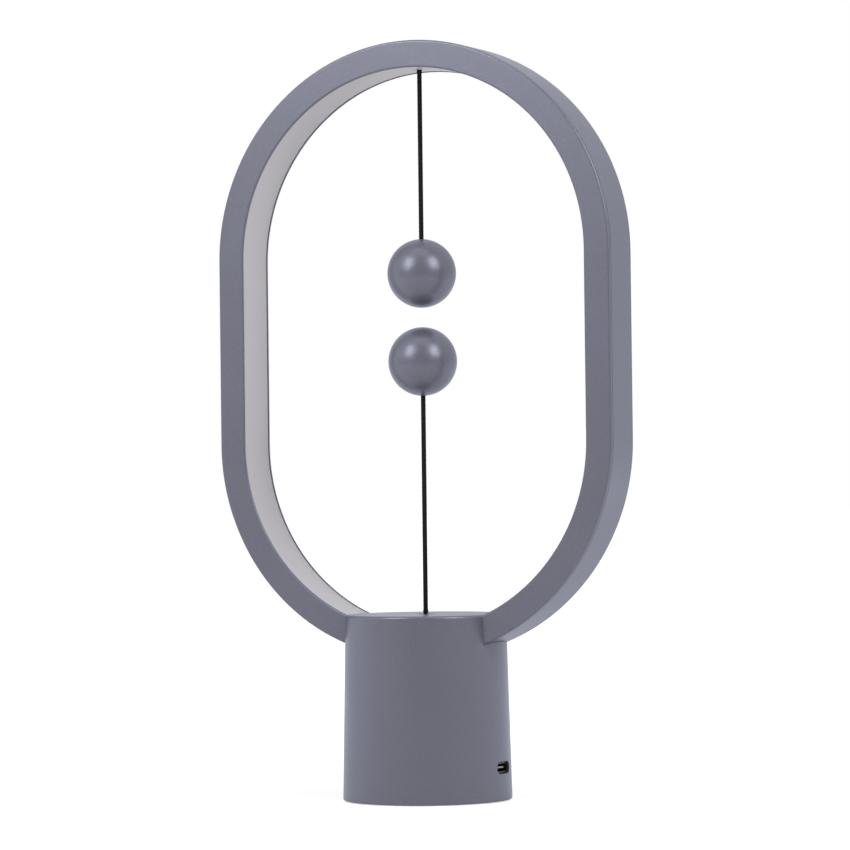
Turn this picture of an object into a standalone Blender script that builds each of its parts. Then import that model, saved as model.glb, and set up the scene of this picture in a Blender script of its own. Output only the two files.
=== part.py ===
"""Ring-shaped LED table lamp whose pull switch is worked by two hovering magnet balls.

Metres, +Z up. The origin is on the table, under the middle of the round base. The ring stands in
the XZ plane, its front faces -Y, and the power inlet is on the +X side of the base.
"""

import math

import bpy
import bmesh
from mathutils import Matrix, Vector

# Clearances
SEAT_GAP = 0.0003
CUT_OVERRUN = 0.003

# Ring: a band bent to a shape with straight sides and half-round ends
RING_WIDTH = 0.1415
RING_HEIGHT = 0.2029
RING_BAND = 0.0090
RING_DEPTH = 0.0190
RING_SINK = 0.0142
RING_WALL = 0.0014
RING_LIP = 0.0009
RING_OUTER_ROUND = 0.0006
RING_INNER_ROUND = 0.0004
RING_END_OFFSET = 0.0110
RING_FOOT_REACH = 0.0105
RING_FOOT_FILL = 0.0060
RING_ARC_STEP = math.radians(10)

# Inside of the ring
LED_SEAT_RISE = 0.0002
LED_SEAT_SETBACK = 0.0018
COVER_RIB_HEIGHT = 0.0014
COVER_RIB_THICKNESS = 0.0010
LEDGE_HEIGHT = 0.0008
LEDGE_THICKNESS = 0.0009
DIFFUSER_THICKNESS = 0.0011
DIFFUSER_CROWN = 0.0002
DIFFUSER_RECESS = 0.0004
STRIP_THICKNESS = 0.0003
STRIP_WIDTH = 0.0080
LED_LENGTH = 0.0035
LED_WIDTH = 0.0028
LED_HEIGHT = 0.0008
LED_PITCH = 0.0125
LED_SINK = 0.0001

# Base
BASE_HEIGHT = 0.0613
BASE_TOP_RADIUS = 0.0265
BASE_FOOT_RADIUS = 0.0279
BASE_WALL = 0.0024
BASE_LIFT = 0.0003
BASE_TOP_ROUND = 0.0007
BASE_FOOT_ROUND = 0.0006
CAP_RIM = 0.0016
CAP_THICKNESS = 0.0019
CAP_LEDGE = 0.0016
CAP_LEDGE_HEIGHT = 0.0012
CAP_EDGE_ROUND = 0.0002
CAP_GUIDE_RADIUS = 0.0031
CAP_GUIDE_LENGTH = 0.0053
CORD_BORE_RADIUS = 0.0012
CORD_MOUTH_RADIUS = 0.0034
CORD_MOUTH_DEPTH = 0.0034

# Stack under the switch: cover, weight and circuit board
COVER_LIFT = 0.0008
COVER_THICKNESS = 0.0020
PAD_INSET = 0.0037
PAD_WIDTH = 0.0028
PAD_THICKNESS = 0.0012
PAD_GROOVE_DEPTH = 0.0007
WEIGHT_THICKNESS = 0.0043
WEIGHT_INSET = 0.0010
BOARD_THICKNESS = 0.0016
BOARD_INSET = 0.0022
COVER_SCREW_INSET = 0.0104
COVER_SCREW_COUNT = 4
COVER_SCREW_BEARING = math.radians(45)
SCREW_RADIUS = 0.0011
SCREW_HEAD_RADIUS = 0.0021
SCREW_HEAD_HEIGHT = 0.0009
SCREW_SOCKET_RADIUS = 0.0008
SCREW_SOCKET_DEPTH = 0.0005
SCREW_LIP = 0.0001
COUNTERBORE_WEB = 0.0007
BOSS_RADIUS = 0.0029
BOSS_HEIGHT = 0.0110
BOSS_RIB = 0.0014
BOSS_RIB_STEP = 0.0006
COVER_SCREW_GRIP = 0.0065

# Ring fixing inside the base
RING_SCREW_OFFSET = 0.0170
RING_SCREW_GRIP = 0.0040
SHELF_WIDTH = 0.0090
SHELF_THICKNESS = 0.0030
SHELF_NOSE = 0.0040

# Power inlet
INLET_WIDTH = 0.0089
INLET_HEIGHT = 0.0032
INLET_LENGTH = 0.0065
INLET_WALL = 0.0003
INLET_SETBACK = 0.0010
INLET_HOLE_MARGIN = 0.00045
TONGUE_WIDTH = 0.0066
TONGUE_THICKNESS = 0.0005
TONGUE_SETBACK = 0.0008
INSULATOR_LENGTH = 0.0018

# Balls, magnets and cords
BALL_RADIUS = 0.01135
BALL_GAP = 0.0064
BALL_WALL = 0.0020
BALL_FLOOR = 0.0023
BALL_LIP_HEIGHT = 0.0012
BALL_LIP_WALL = 0.0009
MAGNET_RADIUS = 0.0050
MAGNET_HEIGHT = 0.0050
MAGNET_ROUND = 0.0003
MAGNET_SEAT = 0.0013
UPPER_CORD_LENGTH = 0.0552
CORD_RADIUS = 0.00075
CORD_HOLE_MARGIN = 0.0003
KNOT_RADIUS = 0.0017
KNOT_LENGTH = 0.0030
CORD_END = 0.0010
BEAD_RADIUS = 0.0009
BEAD_DROP = 0.0010
HANGER_RADIUS = 0.0036
HANGER_THICKNESS = 0.0008
HANGER_HOLE_MARGIN = 0.0005
HANGER_KNOT_LENGTH = 0.0024

# Pull switch
SWITCH_TRAVEL = 0.0025
FRAME_HALF_WIDTH = 0.0157
FRAME_DEPTH = 0.0100
FRAME_WALL = 0.0015
FRAME_FLOOR = 0.0015
FRAME_HEIGHT = 0.0280
FRAME_BRIDGE = 0.0025
FRAME_GUIDE_DROP = 0.0060
FRAME_GUIDE_WALL = 0.0012
FRAME_ROUND = 0.0004
PEG_RADIUS = 0.0012
PEG_OFFSET = 0.0120
STEM_RADIUS = 0.0017
STEM_TOP_REACH = 0.0075
FLANGE_RADIUS = 0.0070
FLANGE_THICKNESS = 0.0012
FLANGE_DROP = 0.0120
SPRING_RADIUS = 0.0041
SPRING_WIRE_RADIUS = 0.0003
SPRING_TURNS = 6
SPRING_POINTS_PER_TURN = 9
SWITCH_BODY_HEIGHT = 0.0087
SWITCH_BODY_DEPTH = 0.0064
SWITCH_BODY_START = 0.0063
SWITCH_BODY_ROUND = 0.0003
LEVER_ARM = 0.0070
LEVER_PIVOT_OFFSET = 0.0124
LEVER_PIVOT_RISE = 0.0012
LEVER_THICKNESS = 0.0005
LEVER_WIDTH = 0.0034
LEVER_BARREL_RADIUS = 0.0011
LEVER_PIN_RADIUS = 0.0004
LEVER_EAR_THICKNESS = 0.0009
LEVER_EAR_DROP = 0.0010
BUTTON_OFFSET = 0.0094
BUTTON_RADIUS = 0.0009
BUTTON_LENGTH = 0.0050
BUTTON_HEADROOM = 0.0010

# Leads from the board to the light strip
LEAD_RADIUS = 0.0005
LEAD_SPACING = 0.0024
LEAD_OFFSET = 0.0040
LEAD_FRAME_GAP = 0.0034
LEAD_BRIDGE_RISE = 0.0010
LEAD_CORNER_DROP = 0.0030
LEAD_TAIL = ((0.0010, 0.95), (0.0026, 0.55), (0.0042, 0.08), (0.0062, 0.0), (0.0084, 0.0))
LEAD_STEPS_PER_SPAN = 2

# Facets
BASE_SIDES = 40
SMALL_SIDES = 16
TINY_SIDES = 10
BALL_SIDES = 20
BALL_STEPS = 6
ROUND_STEPS = 2
SHARP_ANGLE = math.radians(35)

# Worked out from the sizes above
RING_RADIUS = RING_WIDTH / 2
RING_BOTTOM_Z = BASE_HEIGHT - RING_SINK
RING_TOP_Z = RING_BOTTOM_Z + RING_HEIGHT
RING_LOW_CENTRE_Z = RING_BOTTOM_Z + RING_RADIUS
RING_HIGH_CENTRE_Z = RING_TOP_Z - RING_RADIUS
RING_FRONT_Y = -RING_DEPTH / 2
RING_BACK_Y = RING_DEPTH / 2
COVER_BACK_Y = RING_FRONT_Y + RING_WALL
SHELL_FRONT_Y = COVER_BACK_Y + SEAT_GAP
BACK_WALL_Y = RING_BACK_Y - RING_WALL
LIP_Y = RING_BACK_Y - RING_LIP
DIFFUSER_FACE_DEPTH = RING_BAND - DIFFUSER_RECESS
DIFFUSER_BACK_DEPTH = DIFFUSER_FACE_DEPTH - DIFFUSER_THICKNESS
LEDGE_FACE_DEPTH = DIFFUSER_BACK_DEPTH - SEAT_GAP
STRIP_BACK_DEPTH = RING_WALL + LED_SEAT_RISE + SEAT_GAP
STRIP_FACE_DEPTH = STRIP_BACK_DEPTH + STRIP_THICKNESS
RING_MIDDLE_RADIUS = RING_RADIUS - RING_BAND / 2
RING_END_ANGLE = math.asin(RING_END_OFFSET / RING_MIDDLE_RADIUS)
RING_FOOT_ANGLE = math.asin((RING_END_OFFSET + RING_FOOT_REACH) / RING_MIDDLE_RADIUS)
INNER_START_ANGLE = RING_FOOT_ANGLE + SEAT_GAP / RING_MIDDLE_RADIUS
DIFFUSER_INNER_Z = RING_TOP_Z - DIFFUSER_FACE_DEPTH - DIFFUSER_CROWN
DIFFUSER_OUTER_Z = RING_TOP_Z - DIFFUSER_BACK_DEPTH

CAP_BOTTOM_Z = BASE_HEIGHT - CAP_THICKNESS
CAP_LEDGE_Z = CAP_BOTTOM_Z - SEAT_GAP
COVER_TOP_Z = COVER_LIFT + COVER_THICKNESS
WEIGHT_BOTTOM_Z = COVER_TOP_Z + SEAT_GAP
WEIGHT_TOP_Z = WEIGHT_BOTTOM_Z + WEIGHT_THICKNESS
BOARD_BOTTOM_Z = WEIGHT_TOP_Z + SEAT_GAP
BOARD_TOP_Z = BOARD_BOTTOM_Z + BOARD_THICKNESS
BOSS_BOTTOM_Z = BOARD_TOP_Z + SEAT_GAP
SCREW_HOLE_RADIUS = SCREW_RADIUS + SEAT_GAP
COVER_SCREW_CIRCLE = BASE_FOOT_RADIUS - COVER_SCREW_INSET
PAD_OUTER_RADIUS = BASE_FOOT_RADIUS - PAD_INSET
PAD_INNER_RADIUS = PAD_OUTER_RADIUS - PAD_WIDTH
COUNTERBORE_TOP_Z = COVER_TOP_Z - COUNTERBORE_WEB
INLET_MIDDLE_Z = BOARD_TOP_Z + SEAT_GAP + INLET_HEIGHT / 2

UPPER_PIVOT_Z = DIFFUSER_INNER_Z - BEAD_DROP
UPPER_BALL_Z = UPPER_PIVOT_Z - UPPER_CORD_LENGTH - BALL_RADIUS
LOWER_BALL_Z = UPPER_BALL_Z - 2 * BALL_RADIUS - BALL_GAP
LOWER_PIVOT_Z = BASE_HEIGHT + BEAD_DROP
BALL_INNER_RADIUS = BALL_RADIUS - BALL_WALL

FRAME_BOTTOM_Z = BOARD_TOP_Z + SEAT_GAP
FRAME_FLOOR_Z = FRAME_BOTTOM_Z + FRAME_FLOOR
BRIDGE_BOTTOM_Z = FRAME_BOTTOM_Z + FRAME_HEIGHT - FRAME_BRIDGE
BRIDGE_TOP_Z = FRAME_BOTTOM_Z + FRAME_HEIGHT
GUIDE_BORE_RADIUS = STEM_RADIUS + SEAT_GAP
FLANGE_TOP_Z = BRIDGE_BOTTOM_Z - FLANGE_DROP
FLANGE_BOTTOM_Z = FLANGE_TOP_Z - FLANGE_THICKNESS
LEVER_BOTTOM_Z = FLANGE_TOP_Z + SEAT_GAP
LEVER_PIVOT_Z = LEVER_BOTTOM_Z + LEVER_PIVOT_RISE
LEVER_PIVOT_X = LEVER_PIVOT_OFFSET
SWITCH_BODY_TOP_Z = BRIDGE_BOTTOM_Z - SEAT_GAP
SWITCH_BODY_BOTTOM_Z = SWITCH_BODY_TOP_Z - SWITCH_BODY_HEIGHT
BUTTON_BOTTOM_Z = LEVER_BOTTOM_Z + LEVER_THICKNESS + SEAT_GAP


def base_radius(z):
    """Outer radius of the tapered base at a height."""
    return BASE_FOOT_RADIUS + (BASE_TOP_RADIUS - BASE_FOOT_RADIUS) * z / BASE_HEIGHT


def clear_scene():
    for thing in list(bpy.data.objects):
        bpy.data.objects.remove(thing, do_unlink=True)


def material(name, colour, roughness, metallic=0.0):
    made = bpy.data.materials.new(name)
    made.use_nodes = True
    shader = made.node_tree.nodes["Principled BSDF"]
    shader.inputs["Base Color"].default_value = (*colour, 1.0)
    shader.inputs["Roughness"].default_value = roughness
    shader.inputs["Metallic"].default_value = metallic
    return made


def add_object(name, data, finish=None):
    thing = bpy.data.objects.new(name, data)
    bpy.context.collection.objects.link(thing)
    if finish:
        thing.data.materials.append(finish)
    return thing


def add_mesh(name, shape, finish=None):
    """An object from a bmesh, with its faces turned outwards and its round sides smooth."""
    bmesh.ops.recalc_face_normals(shape, faces=shape.faces)
    mesh = bpy.data.meshes.new(name)
    shape.to_mesh(mesh)
    shape.free()
    mesh.shade_smooth()
    mesh.set_sharp_from_angle(angle=SHARP_ANGLE)
    return add_object(name, mesh, finish)


def add_cutter(name, shape):
    """A hidden solid that another solid's Boolean reads."""
    cutter = add_mesh(name, shape)
    cutter.hide_render = True
    cutter.display_type = "WIRE"
    return cutter


def combine(target, tool, operation="DIFFERENCE"):
    change = target.modifiers.new(tool.name, "BOOLEAN")
    change.operation = operation
    change.object = tool


def rounded(corners, steps=ROUND_STEPS):
    """The outline through corners (x, y, radius), with an arc in place of each rounded corner."""
    outline = []
    for index, (x, y, radius) in enumerate(corners):
        corner = Vector((x, y))
        if not radius:
            outline.append((x, y))
            continue
        back = (Vector(corners[index - 1][:2]) - corner).normalized()
        ahead = (Vector(corners[(index + 1) % len(corners)][:2]) - corner).normalized()
        half = back.angle(ahead) / 2
        centre = corner + (back + ahead).normalized() * radius / math.sin(half)
        start = corner + back * radius / math.tan(half) - centre
        end = corner + ahead * radius / math.tan(half) - centre
        turn = start.angle(end)
        for step in range(steps + 1):
            share = step / steps
            spoke = start * math.sin((1 - share) * turn) + end * math.sin(share * turn)
            point = centre + spoke / math.sin(turn)
            outline.append((point.x, point.y))
    return outline


def arc(radius, start, end, steps, centre=(0.0, 0.0)):
    """Points on an arc, with angles counted from the first axis."""
    found = []
    for step in range(steps + 1):
        angle = start + (end - start) * step / steps
        found.append((centre[0] + radius * math.cos(angle), centre[1] + radius * math.sin(angle)))
    return found


def turned(outline, sides, place=(0.0, 0.0)):
    """A solid of revolution about a vertical line, from a closed outline of (radius, z) points."""
    shape = bmesh.new()
    rings = []
    for radius, z in outline:
        ring = []
        for side in range(sides if radius else 1):
            angle = 2 * math.pi * side / sides
            x = place[0] + radius * math.cos(angle)
            y = place[1] + radius * math.sin(angle)
            ring.append(shape.verts.new((x, y, z)))
        rings.append(ring)
    for index, ring in enumerate(rings):
        pair = sorted((rings[index - 1], ring), key=len)
        pole = len(pair[0]) == 1
        if len(pair[1]) == 1:
            continue
        if pole and pair[0][0].co.z == pair[1][0].co.z:
            shape.faces.new(pair[1])
            continue
        for side in range(sides):
            after = (side + 1) % sides
            corners = [pair[1][side], pair[1][after]]
            corners += [pair[0][0]] if pole else [pair[0][after], pair[0][side]]
            shape.faces.new(corners)
    for vert in [vert for vert in shape.verts if not vert.link_faces]:
        shape.verts.remove(vert)
    return shape


def rod(radius, low, high, sides=SMALL_SIDES, place=(0.0, 0.0)):
    return turned([(0, low), (radius, low), (radius, high), (0, high)], sides, place)


def extruded(outline, start, end, turn=Matrix()):
    """A prism: a closed outline in the plane of X and Z, drawn from one Y to another."""
    shape = bmesh.new()
    near = [shape.verts.new(turn @ Vector((x, start, z))) for x, z in outline]
    far = [shape.verts.new(turn @ Vector((x, end, z))) for x, z in outline]
    shape.faces.new(near)
    shape.faces.new(far)
    for index in range(len(outline)):
        shape.faces.new([near[index - 1], near[index], far[index], far[index - 1]])
    return shape


def block(low, high):
    """A box between two corners."""
    outline = [(low[0], low[2]), (high[0], low[2]), (high[0], high[2]), (low[0], high[2])]
    return extruded(outline, low[1], high[1])


def stadium(width, height, middle_z, steps=5):
    """A slot outline, centred across and at a height."""
    radius = height / 2
    reach = width / 2 - radius
    right = arc(radius, -math.pi / 2, math.pi / 2, steps, (reach, middle_z))
    left = arc(radius, math.pi / 2, 3 * math.pi / 2, steps, (-reach, middle_z))
    return right + left


def ring_stations(start_angle):
    """Stations from the left end of the ring over its top to the right end.

    Each is a point of the outer surface and the direction from there into the band, in X and Z.
    The angle is counted from the lowest point of the ring, about the centre of its lower end.
    """
    steps = math.ceil((math.pi / 2 - start_angle) / RING_ARC_STEP)
    left = []
    for step in range(steps + 1):
        angle = start_angle + (math.pi / 2 - start_angle) * step / steps
        inward = Vector((math.sin(angle), math.cos(angle)))
        left.append((Vector((0.0, RING_LOW_CENTRE_Z)) - inward * RING_RADIUS, inward))
    over = []
    steps = math.ceil(math.pi / RING_ARC_STEP)
    for step in range(steps + 1):
        angle = math.pi * step / steps
        inward = Vector((math.cos(angle), -math.sin(angle)))
        over.append((Vector((0.0, RING_HIGH_CENTRE_Z)) - inward * RING_RADIUS, inward))
    right = [(Vector((-p.x, p.y)), Vector((-d.x, d.y))) for p, d in reversed(left)]
    return left + over + right


def swept(stations, sections):
    """A solid drawn along the ring through one closed section of (depth, y) at each station."""
    shape = bmesh.new()
    loops = []
    for (point, inward), section in zip(stations, sections):
        loop = []
        for depth, y in section:
            at = point + inward * depth
            loop.append(shape.verts.new((at.x, y, at.y)))
        loops.append(loop)
    for before, after in zip(loops, loops[1:]):
        for index in range(len(before)):
            shape.faces.new([before[index - 1], before[index], after[index], after[index - 1]])
    shape.faces.new(loops[0])
    shape.faces.new(loops[-1])
    return shape


def swept_whole(start_angle, section):
    stations = ring_stations(start_angle)
    return swept(stations, [section] * len(stations))


def tube(name, route, radius, finish, swell_shares=None, resolution=2):
    """A round tube along a route. The swell shares widen it at single points, as for a knot."""
    curve = bpy.data.curves.new(name, "CURVE")
    curve.dimensions = "3D"
    curve.bevel_depth = radius
    curve.bevel_resolution = resolution
    curve.use_fill_caps = True
    spline = curve.splines.new("POLY")
    spline.points.add(len(route) - 1)
    shares = swell_shares or [1.0] * len(route)
    for point, at, share in zip(spline.points, route, shares):
        point.co = (*at, 1.0)
        point.radius = share
    return add_object(name, curve, finish)


def hang_on(pivot, *pieces):
    """Makes pieces children of an empty on their joint's axis, without moving them."""
    for piece in pieces:
        piece.data.transform(Matrix.Translation(-pivot.location))
        piece.parent = pivot


def pivot_at(name, place):
    pivot = add_object(name, None)
    pivot.location = place
    return pivot


def ring_envelope(margin):
    """The whole band of the ring, grown by a margin, as a shape that cuts its seat."""
    section = [
        (-margin, RING_FRONT_Y - margin),
        (RING_BAND + margin, RING_FRONT_Y - margin),
        (RING_BAND + margin, RING_BACK_Y + margin),
        (-margin, RING_BACK_Y + margin),
    ]
    end = RING_END_ANGLE - margin / RING_MIDDLE_RADIUS
    return swept_whole(end, section)


def make_ring_shell(finish):
    """Outer band and rear wall in one moulding, filled at both ends where the screws bite."""

    def section(fill):
        seat_y = SHELL_FRONT_Y + LED_SEAT_SETBACK
        ledge = LEDGE_FACE_DEPTH - LEDGE_THICKNESS
        return rounded([
            (0, SHELL_FRONT_Y, 0),
            (0, RING_BACK_Y, RING_OUTER_ROUND),
            (RING_BAND, RING_BACK_Y, RING_INNER_ROUND),
            (RING_BAND, LIP_Y, 0),
            (LEDGE_FACE_DEPTH, LIP_Y, 0),
            (LEDGE_FACE_DEPTH, BACK_WALL_Y - LEDGE_HEIGHT, 0),
            (ledge, BACK_WALL_Y - LEDGE_HEIGHT, 0),
            (ledge, BACK_WALL_Y, 0),
            (fill, BACK_WALL_Y, 0),
            (fill, seat_y, 0),
            (RING_WALL, seat_y, 0),
            (RING_WALL, SHELL_FRONT_Y, 0),
        ])

    foot = ring_stations(RING_END_ANGLE)[0]
    inner = ring_stations(RING_FOOT_ANGLE)
    step_angle = RING_FOOT_ANGLE - SEAT_GAP / RING_MIDDLE_RADIUS
    step = ring_stations(step_angle)[0]
    middle = ring_stations((RING_END_ANGLE + step_angle) / 2)[0]
    left = [foot, middle, step]
    right = [(Vector((-p.x, p.y)), Vector((-d.x, d.y))) for p, d in reversed(left)]
    filled = [section(RING_FOOT_FILL)] * len(left)
    plain = [section(RING_WALL + LED_SEAT_RISE)] * len(inner)
    shell = add_mesh("ring_shell", swept(left + inner + right, filled + plain + filled), finish)
    for side in (-1, 1):
        place = (side * RING_SCREW_OFFSET, 0.0)
        hole = rod(SCREW_HOLE_RADIUS, RING_BOTTOM_Z, ring_screw_top() + SEAT_GAP, TINY_SIDES, place)
        combine(shell, add_cutter(f"ring_screw_hole_{side}", hole))
    return shell


def make_ring_cover(finish):
    """Front wall, with a rib that nests in the band and a ledge that backs the diffuser."""
    rib = RING_WALL + SEAT_GAP
    rib_y = COVER_BACK_Y + COVER_RIB_HEIGHT
    ledge = LEDGE_FACE_DEPTH - LEDGE_THICKNESS
    section = rounded([
        (0, COVER_BACK_Y, 0),
        (0, RING_FRONT_Y, RING_OUTER_ROUND),
        (RING_BAND, RING_FRONT_Y, RING_INNER_ROUND),
        (RING_BAND, -LIP_Y, 0),
        (LEDGE_FACE_DEPTH, -LIP_Y, 0),
        (LEDGE_FACE_DEPTH, COVER_BACK_Y + LEDGE_HEIGHT, 0),
        (ledge, COVER_BACK_Y + LEDGE_HEIGHT, 0),
        (ledge, COVER_BACK_Y, 0),
        (rib + COVER_RIB_THICKNESS, COVER_BACK_Y, 0),
        (rib + COVER_RIB_THICKNESS, rib_y, 0),
        (rib, rib_y, 0),
        (rib, COVER_BACK_Y, 0),
    ])
    return add_mesh("ring_front_cover", swept_whole(RING_END_ANGLE, section), finish)


def make_diffuser(finish):
    """The pale strip that closes the inner side of the band, a little crowned."""
    half = LIP_Y - SEAT_GAP
    section = [
        (DIFFUSER_BACK_DEPTH, -half),
        (DIFFUSER_FACE_DEPTH, -half),
        (DIFFUSER_FACE_DEPTH + DIFFUSER_CROWN, -half / 2),
        (DIFFUSER_FACE_DEPTH + DIFFUSER_CROWN, half / 2),
        (DIFFUSER_FACE_DEPTH, half),
        (DIFFUSER_BACK_DEPTH, half),
    ]
    diffuser = add_mesh("diffuser_strip", swept_whole(INNER_START_ANGLE, section), finish)
    radius = CORD_RADIUS + HANGER_HOLE_MARGIN
    low = DIFFUSER_INNER_Z - CUT_OVERRUN
    hole = rod(radius, low, DIFFUSER_OUTER_Z + CUT_OVERRUN, TINY_SIDES)
    combine(diffuser, add_cutter("diffuser_cord_hole", hole))
    return diffuser


def ring_point(travelled, depth):
    """A point of the band and the direction into it, a length of outer surface from the top."""
    turn = math.pi / 2 * RING_RADIUS
    side = 1 if travelled > 0 else -1
    travelled = abs(travelled)
    straight = RING_HIGH_CENTRE_Z - RING_LOW_CENTRE_Z
    if travelled <= turn:
        angle = travelled / RING_RADIUS
        inward = Vector((-math.sin(angle), -math.cos(angle)))
        centre = Vector((0.0, RING_HIGH_CENTRE_Z))
    elif travelled <= turn + straight:
        inward = Vector((-1.0, 0.0))
        centre = Vector((0.0, RING_HIGH_CENTRE_Z - (travelled - turn)))
    else:
        angle = (travelled - turn - straight) / RING_RADIUS
        inward = Vector((-math.cos(angle), math.sin(angle)))
        centre = Vector((0.0, RING_LOW_CENTRE_Z))
    point = centre - inward * (RING_RADIUS - depth)
    return Vector((side * point.x, point.y)), Vector((side * inward.x, inward.y))


def make_led_strip(finish):
    """A flexible strip on the inside of the band, with its light sources in a row."""
    half = STRIP_WIDTH / 2
    section = [
        (STRIP_BACK_DEPTH, -half),
        (STRIP_FACE_DEPTH, -half),
        (STRIP_FACE_DEPTH, half),
        (STRIP_BACK_DEPTH, half),
    ]
    strip = add_mesh("led_strip", swept_whole(INNER_START_ANGLE, section), finish)
    reach = (math.pi - INNER_START_ANGLE) * RING_RADIUS + RING_HIGH_CENTRE_Z - RING_LOW_CENTRE_Z
    pairs = int((reach - LED_PITCH / 2) / LED_PITCH)
    lights = bmesh.new()
    for index in range(-pairs, pairs):
        point, inward = ring_point((index + 0.5) * LED_PITCH, STRIP_FACE_DEPTH - LED_SINK)
        along = Vector((inward.y, -inward.x)) * LED_LENGTH / 2
        rise = inward * (LED_HEIGHT + LED_SINK)
        feet = [point - along, point + along, point + along + rise, point - along + rise]
        sides = []
        for y in (-LED_WIDTH / 2, LED_WIDTH / 2):
            sides.append([lights.verts.new((foot.x, y, foot.y)) for foot in feet])
            lights.faces.new(sides[-1])
        for n in range(len(feet)):
            lights.faces.new([sides[0][n - 1], sides[0][n], sides[1][n], sides[1][n - 1]])
    combine(strip, add_cutter("led_packages", lights), "UNION")
    return strip


def base_inner_radius(z):
    return base_radius(z) - BASE_WALL


def cover_screw_places():
    """Where the cover screws stand, round the middle of the base."""
    for index in range(COVER_SCREW_COUNT):
        angle = COVER_SCREW_BEARING + 2 * math.pi * index / COVER_SCREW_COUNT
        yield angle, (COVER_SCREW_CIRCLE * math.cos(angle), COVER_SCREW_CIRCLE * math.sin(angle))


def shelf_bottom():
    """Underside of the shelf that carries one end of the ring, where its screw's head bears."""
    lowest = RING_LOW_CENTRE_Z - math.sqrt(RING_RADIUS**2 - (RING_SCREW_OFFSET - SHELF_NOSE) ** 2)
    return lowest - SEAT_GAP - SHELF_THICKNESS


def ring_screw_top():
    surface = RING_LOW_CENTRE_Z - math.sqrt(RING_RADIUS**2 - RING_SCREW_OFFSET**2)
    return surface + RING_SCREW_GRIP


def make_base_shell(finish):
    """Tapered body: a shell open below, with bosses, ring shelves, ring slots and an inlet hole."""
    seat = BASE_TOP_RADIUS - CAP_RIM
    ledge = seat - CAP_LEDGE
    ledge_low = CAP_LEDGE_Z - CAP_LEDGE_HEIGHT
    wall_low = ledge_low - (base_inner_radius(ledge_low) - ledge)
    outline = rounded([
        (base_inner_radius(BASE_LIFT), BASE_LIFT, 0),
        (base_radius(BASE_LIFT), BASE_LIFT, BASE_FOOT_ROUND),
        (BASE_TOP_RADIUS, BASE_HEIGHT, BASE_TOP_ROUND),
        (seat, BASE_HEIGHT, 0),
        (seat, CAP_LEDGE_Z, 0),
        (ledge, CAP_LEDGE_Z, 0),
        (ledge, ledge_low, 0),
        (base_inner_radius(wall_low), wall_low, 0),
    ], 3)
    shell = add_mesh("base_shell", turned(outline, BASE_SIDES), finish)
    for index, (angle, place) in enumerate(cover_screw_places(), 1):
        top = BOSS_BOTTOM_Z + BOSS_HEIGHT
        boss = rod(BOSS_RADIUS, BOSS_BOTTOM_Z, top, SMALL_SIDES, place)
        combine(shell, add_cutter(f"cover_boss_{index}", boss), "UNION")
        rib_end = base_inner_radius(BOSS_BOTTOM_Z) + BASE_WALL / 2
        rib_low = BOSS_BOTTOM_Z + BOSS_RIB_STEP
        rib_high = top - BOSS_RIB_STEP
        rib = [
            (COVER_SCREW_CIRCLE, rib_low),
            (rib_end, rib_low),
            (rib_end, rib_high),
            (COVER_SCREW_CIRCLE, rib_high),
        ]
        turn = Matrix.Rotation(angle, 4, "Z")
        web = extruded(rib, -BOSS_RIB / 2, BOSS_RIB / 2, turn)
        combine(shell, add_cutter(f"cover_boss_rib_{index}", web), "UNION")
        hole_top = COVER_TOP_Z + WEIGHT_THICKNESS + BOARD_THICKNESS + COVER_SCREW_GRIP
        hole = rod(SCREW_HOLE_RADIUS, BOARD_BOTTOM_Z, hole_top + 4 * SEAT_GAP, TINY_SIDES, place)
        combine(shell, add_cutter(f"cover_boss_hole_{index}", hole))
    for side in (-1, 1):
        nose = side * (RING_SCREW_OFFSET - SHELF_NOSE)
        root = side * (base_inner_radius(shelf_bottom()) + BASE_WALL / 2)
        low = (min(nose, root), -SHELF_WIDTH / 2, shelf_bottom())
        high = (max(nose, root), SHELF_WIDTH / 2, RING_BOTTOM_Z + RING_BAND / 2)
        combine(shell, add_cutter(f"ring_shelf_{side}", block(low, high)), "UNION")
    combine(shell, add_cutter("ring_seat", ring_envelope(SEAT_GAP)))
    for side in (-1, 1):
        place = (side * RING_SCREW_OFFSET, 0.0)
        low = shelf_bottom() - CUT_OVERRUN
        hole = rod(SCREW_HOLE_RADIUS, low, RING_BOTTOM_Z + RING_BAND / 2, TINY_SIDES, place)
        combine(shell, add_cutter(f"ring_shelf_hole_{side}", hole))
    width = INLET_WIDTH + 2 * INLET_HOLE_MARGIN
    height = INLET_HEIGHT + 2 * INLET_HOLE_MARGIN
    outside = base_radius(INLET_MIDDLE_Z)
    hole = extruded(
        stadium(width, height, INLET_MIDDLE_Z),
        outside - BASE_WALL - CUT_OVERRUN,
        outside + CUT_OVERRUN,
        Matrix.Rotation(-math.pi / 2, 4, "Z"),
    )
    combine(shell, add_cutter("inlet_hole", hole))
    return shell


def make_base_cap(finish):
    """Lid of the base, with the flared mouth and the guide of the lower cord."""
    radius = BASE_TOP_RADIUS - CAP_RIM - SEAT_GAP
    guide_low = CAP_BOTTOM_Z - CAP_GUIDE_LENGTH
    outline = rounded([
        (CORD_MOUTH_RADIUS, BASE_HEIGHT, 0),
        (radius, BASE_HEIGHT, CAP_EDGE_ROUND),
        (radius, CAP_BOTTOM_Z, 0),
        (CAP_GUIDE_RADIUS + CORD_BORE_RADIUS, CAP_BOTTOM_Z, 0),
        (CAP_GUIDE_RADIUS, CAP_BOTTOM_Z - CORD_BORE_RADIUS, 0),
        (CAP_GUIDE_RADIUS, guide_low, 0),
        (CORD_BORE_RADIUS, guide_low, 0),
        (CORD_BORE_RADIUS, BASE_HEIGHT - CORD_MOUTH_DEPTH, 0),
    ])
    cap = add_mesh("base_cap", turned(outline, BASE_SIDES), finish)
    combine(cap, bpy.data.objects["ring_seat"])
    return cap


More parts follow.
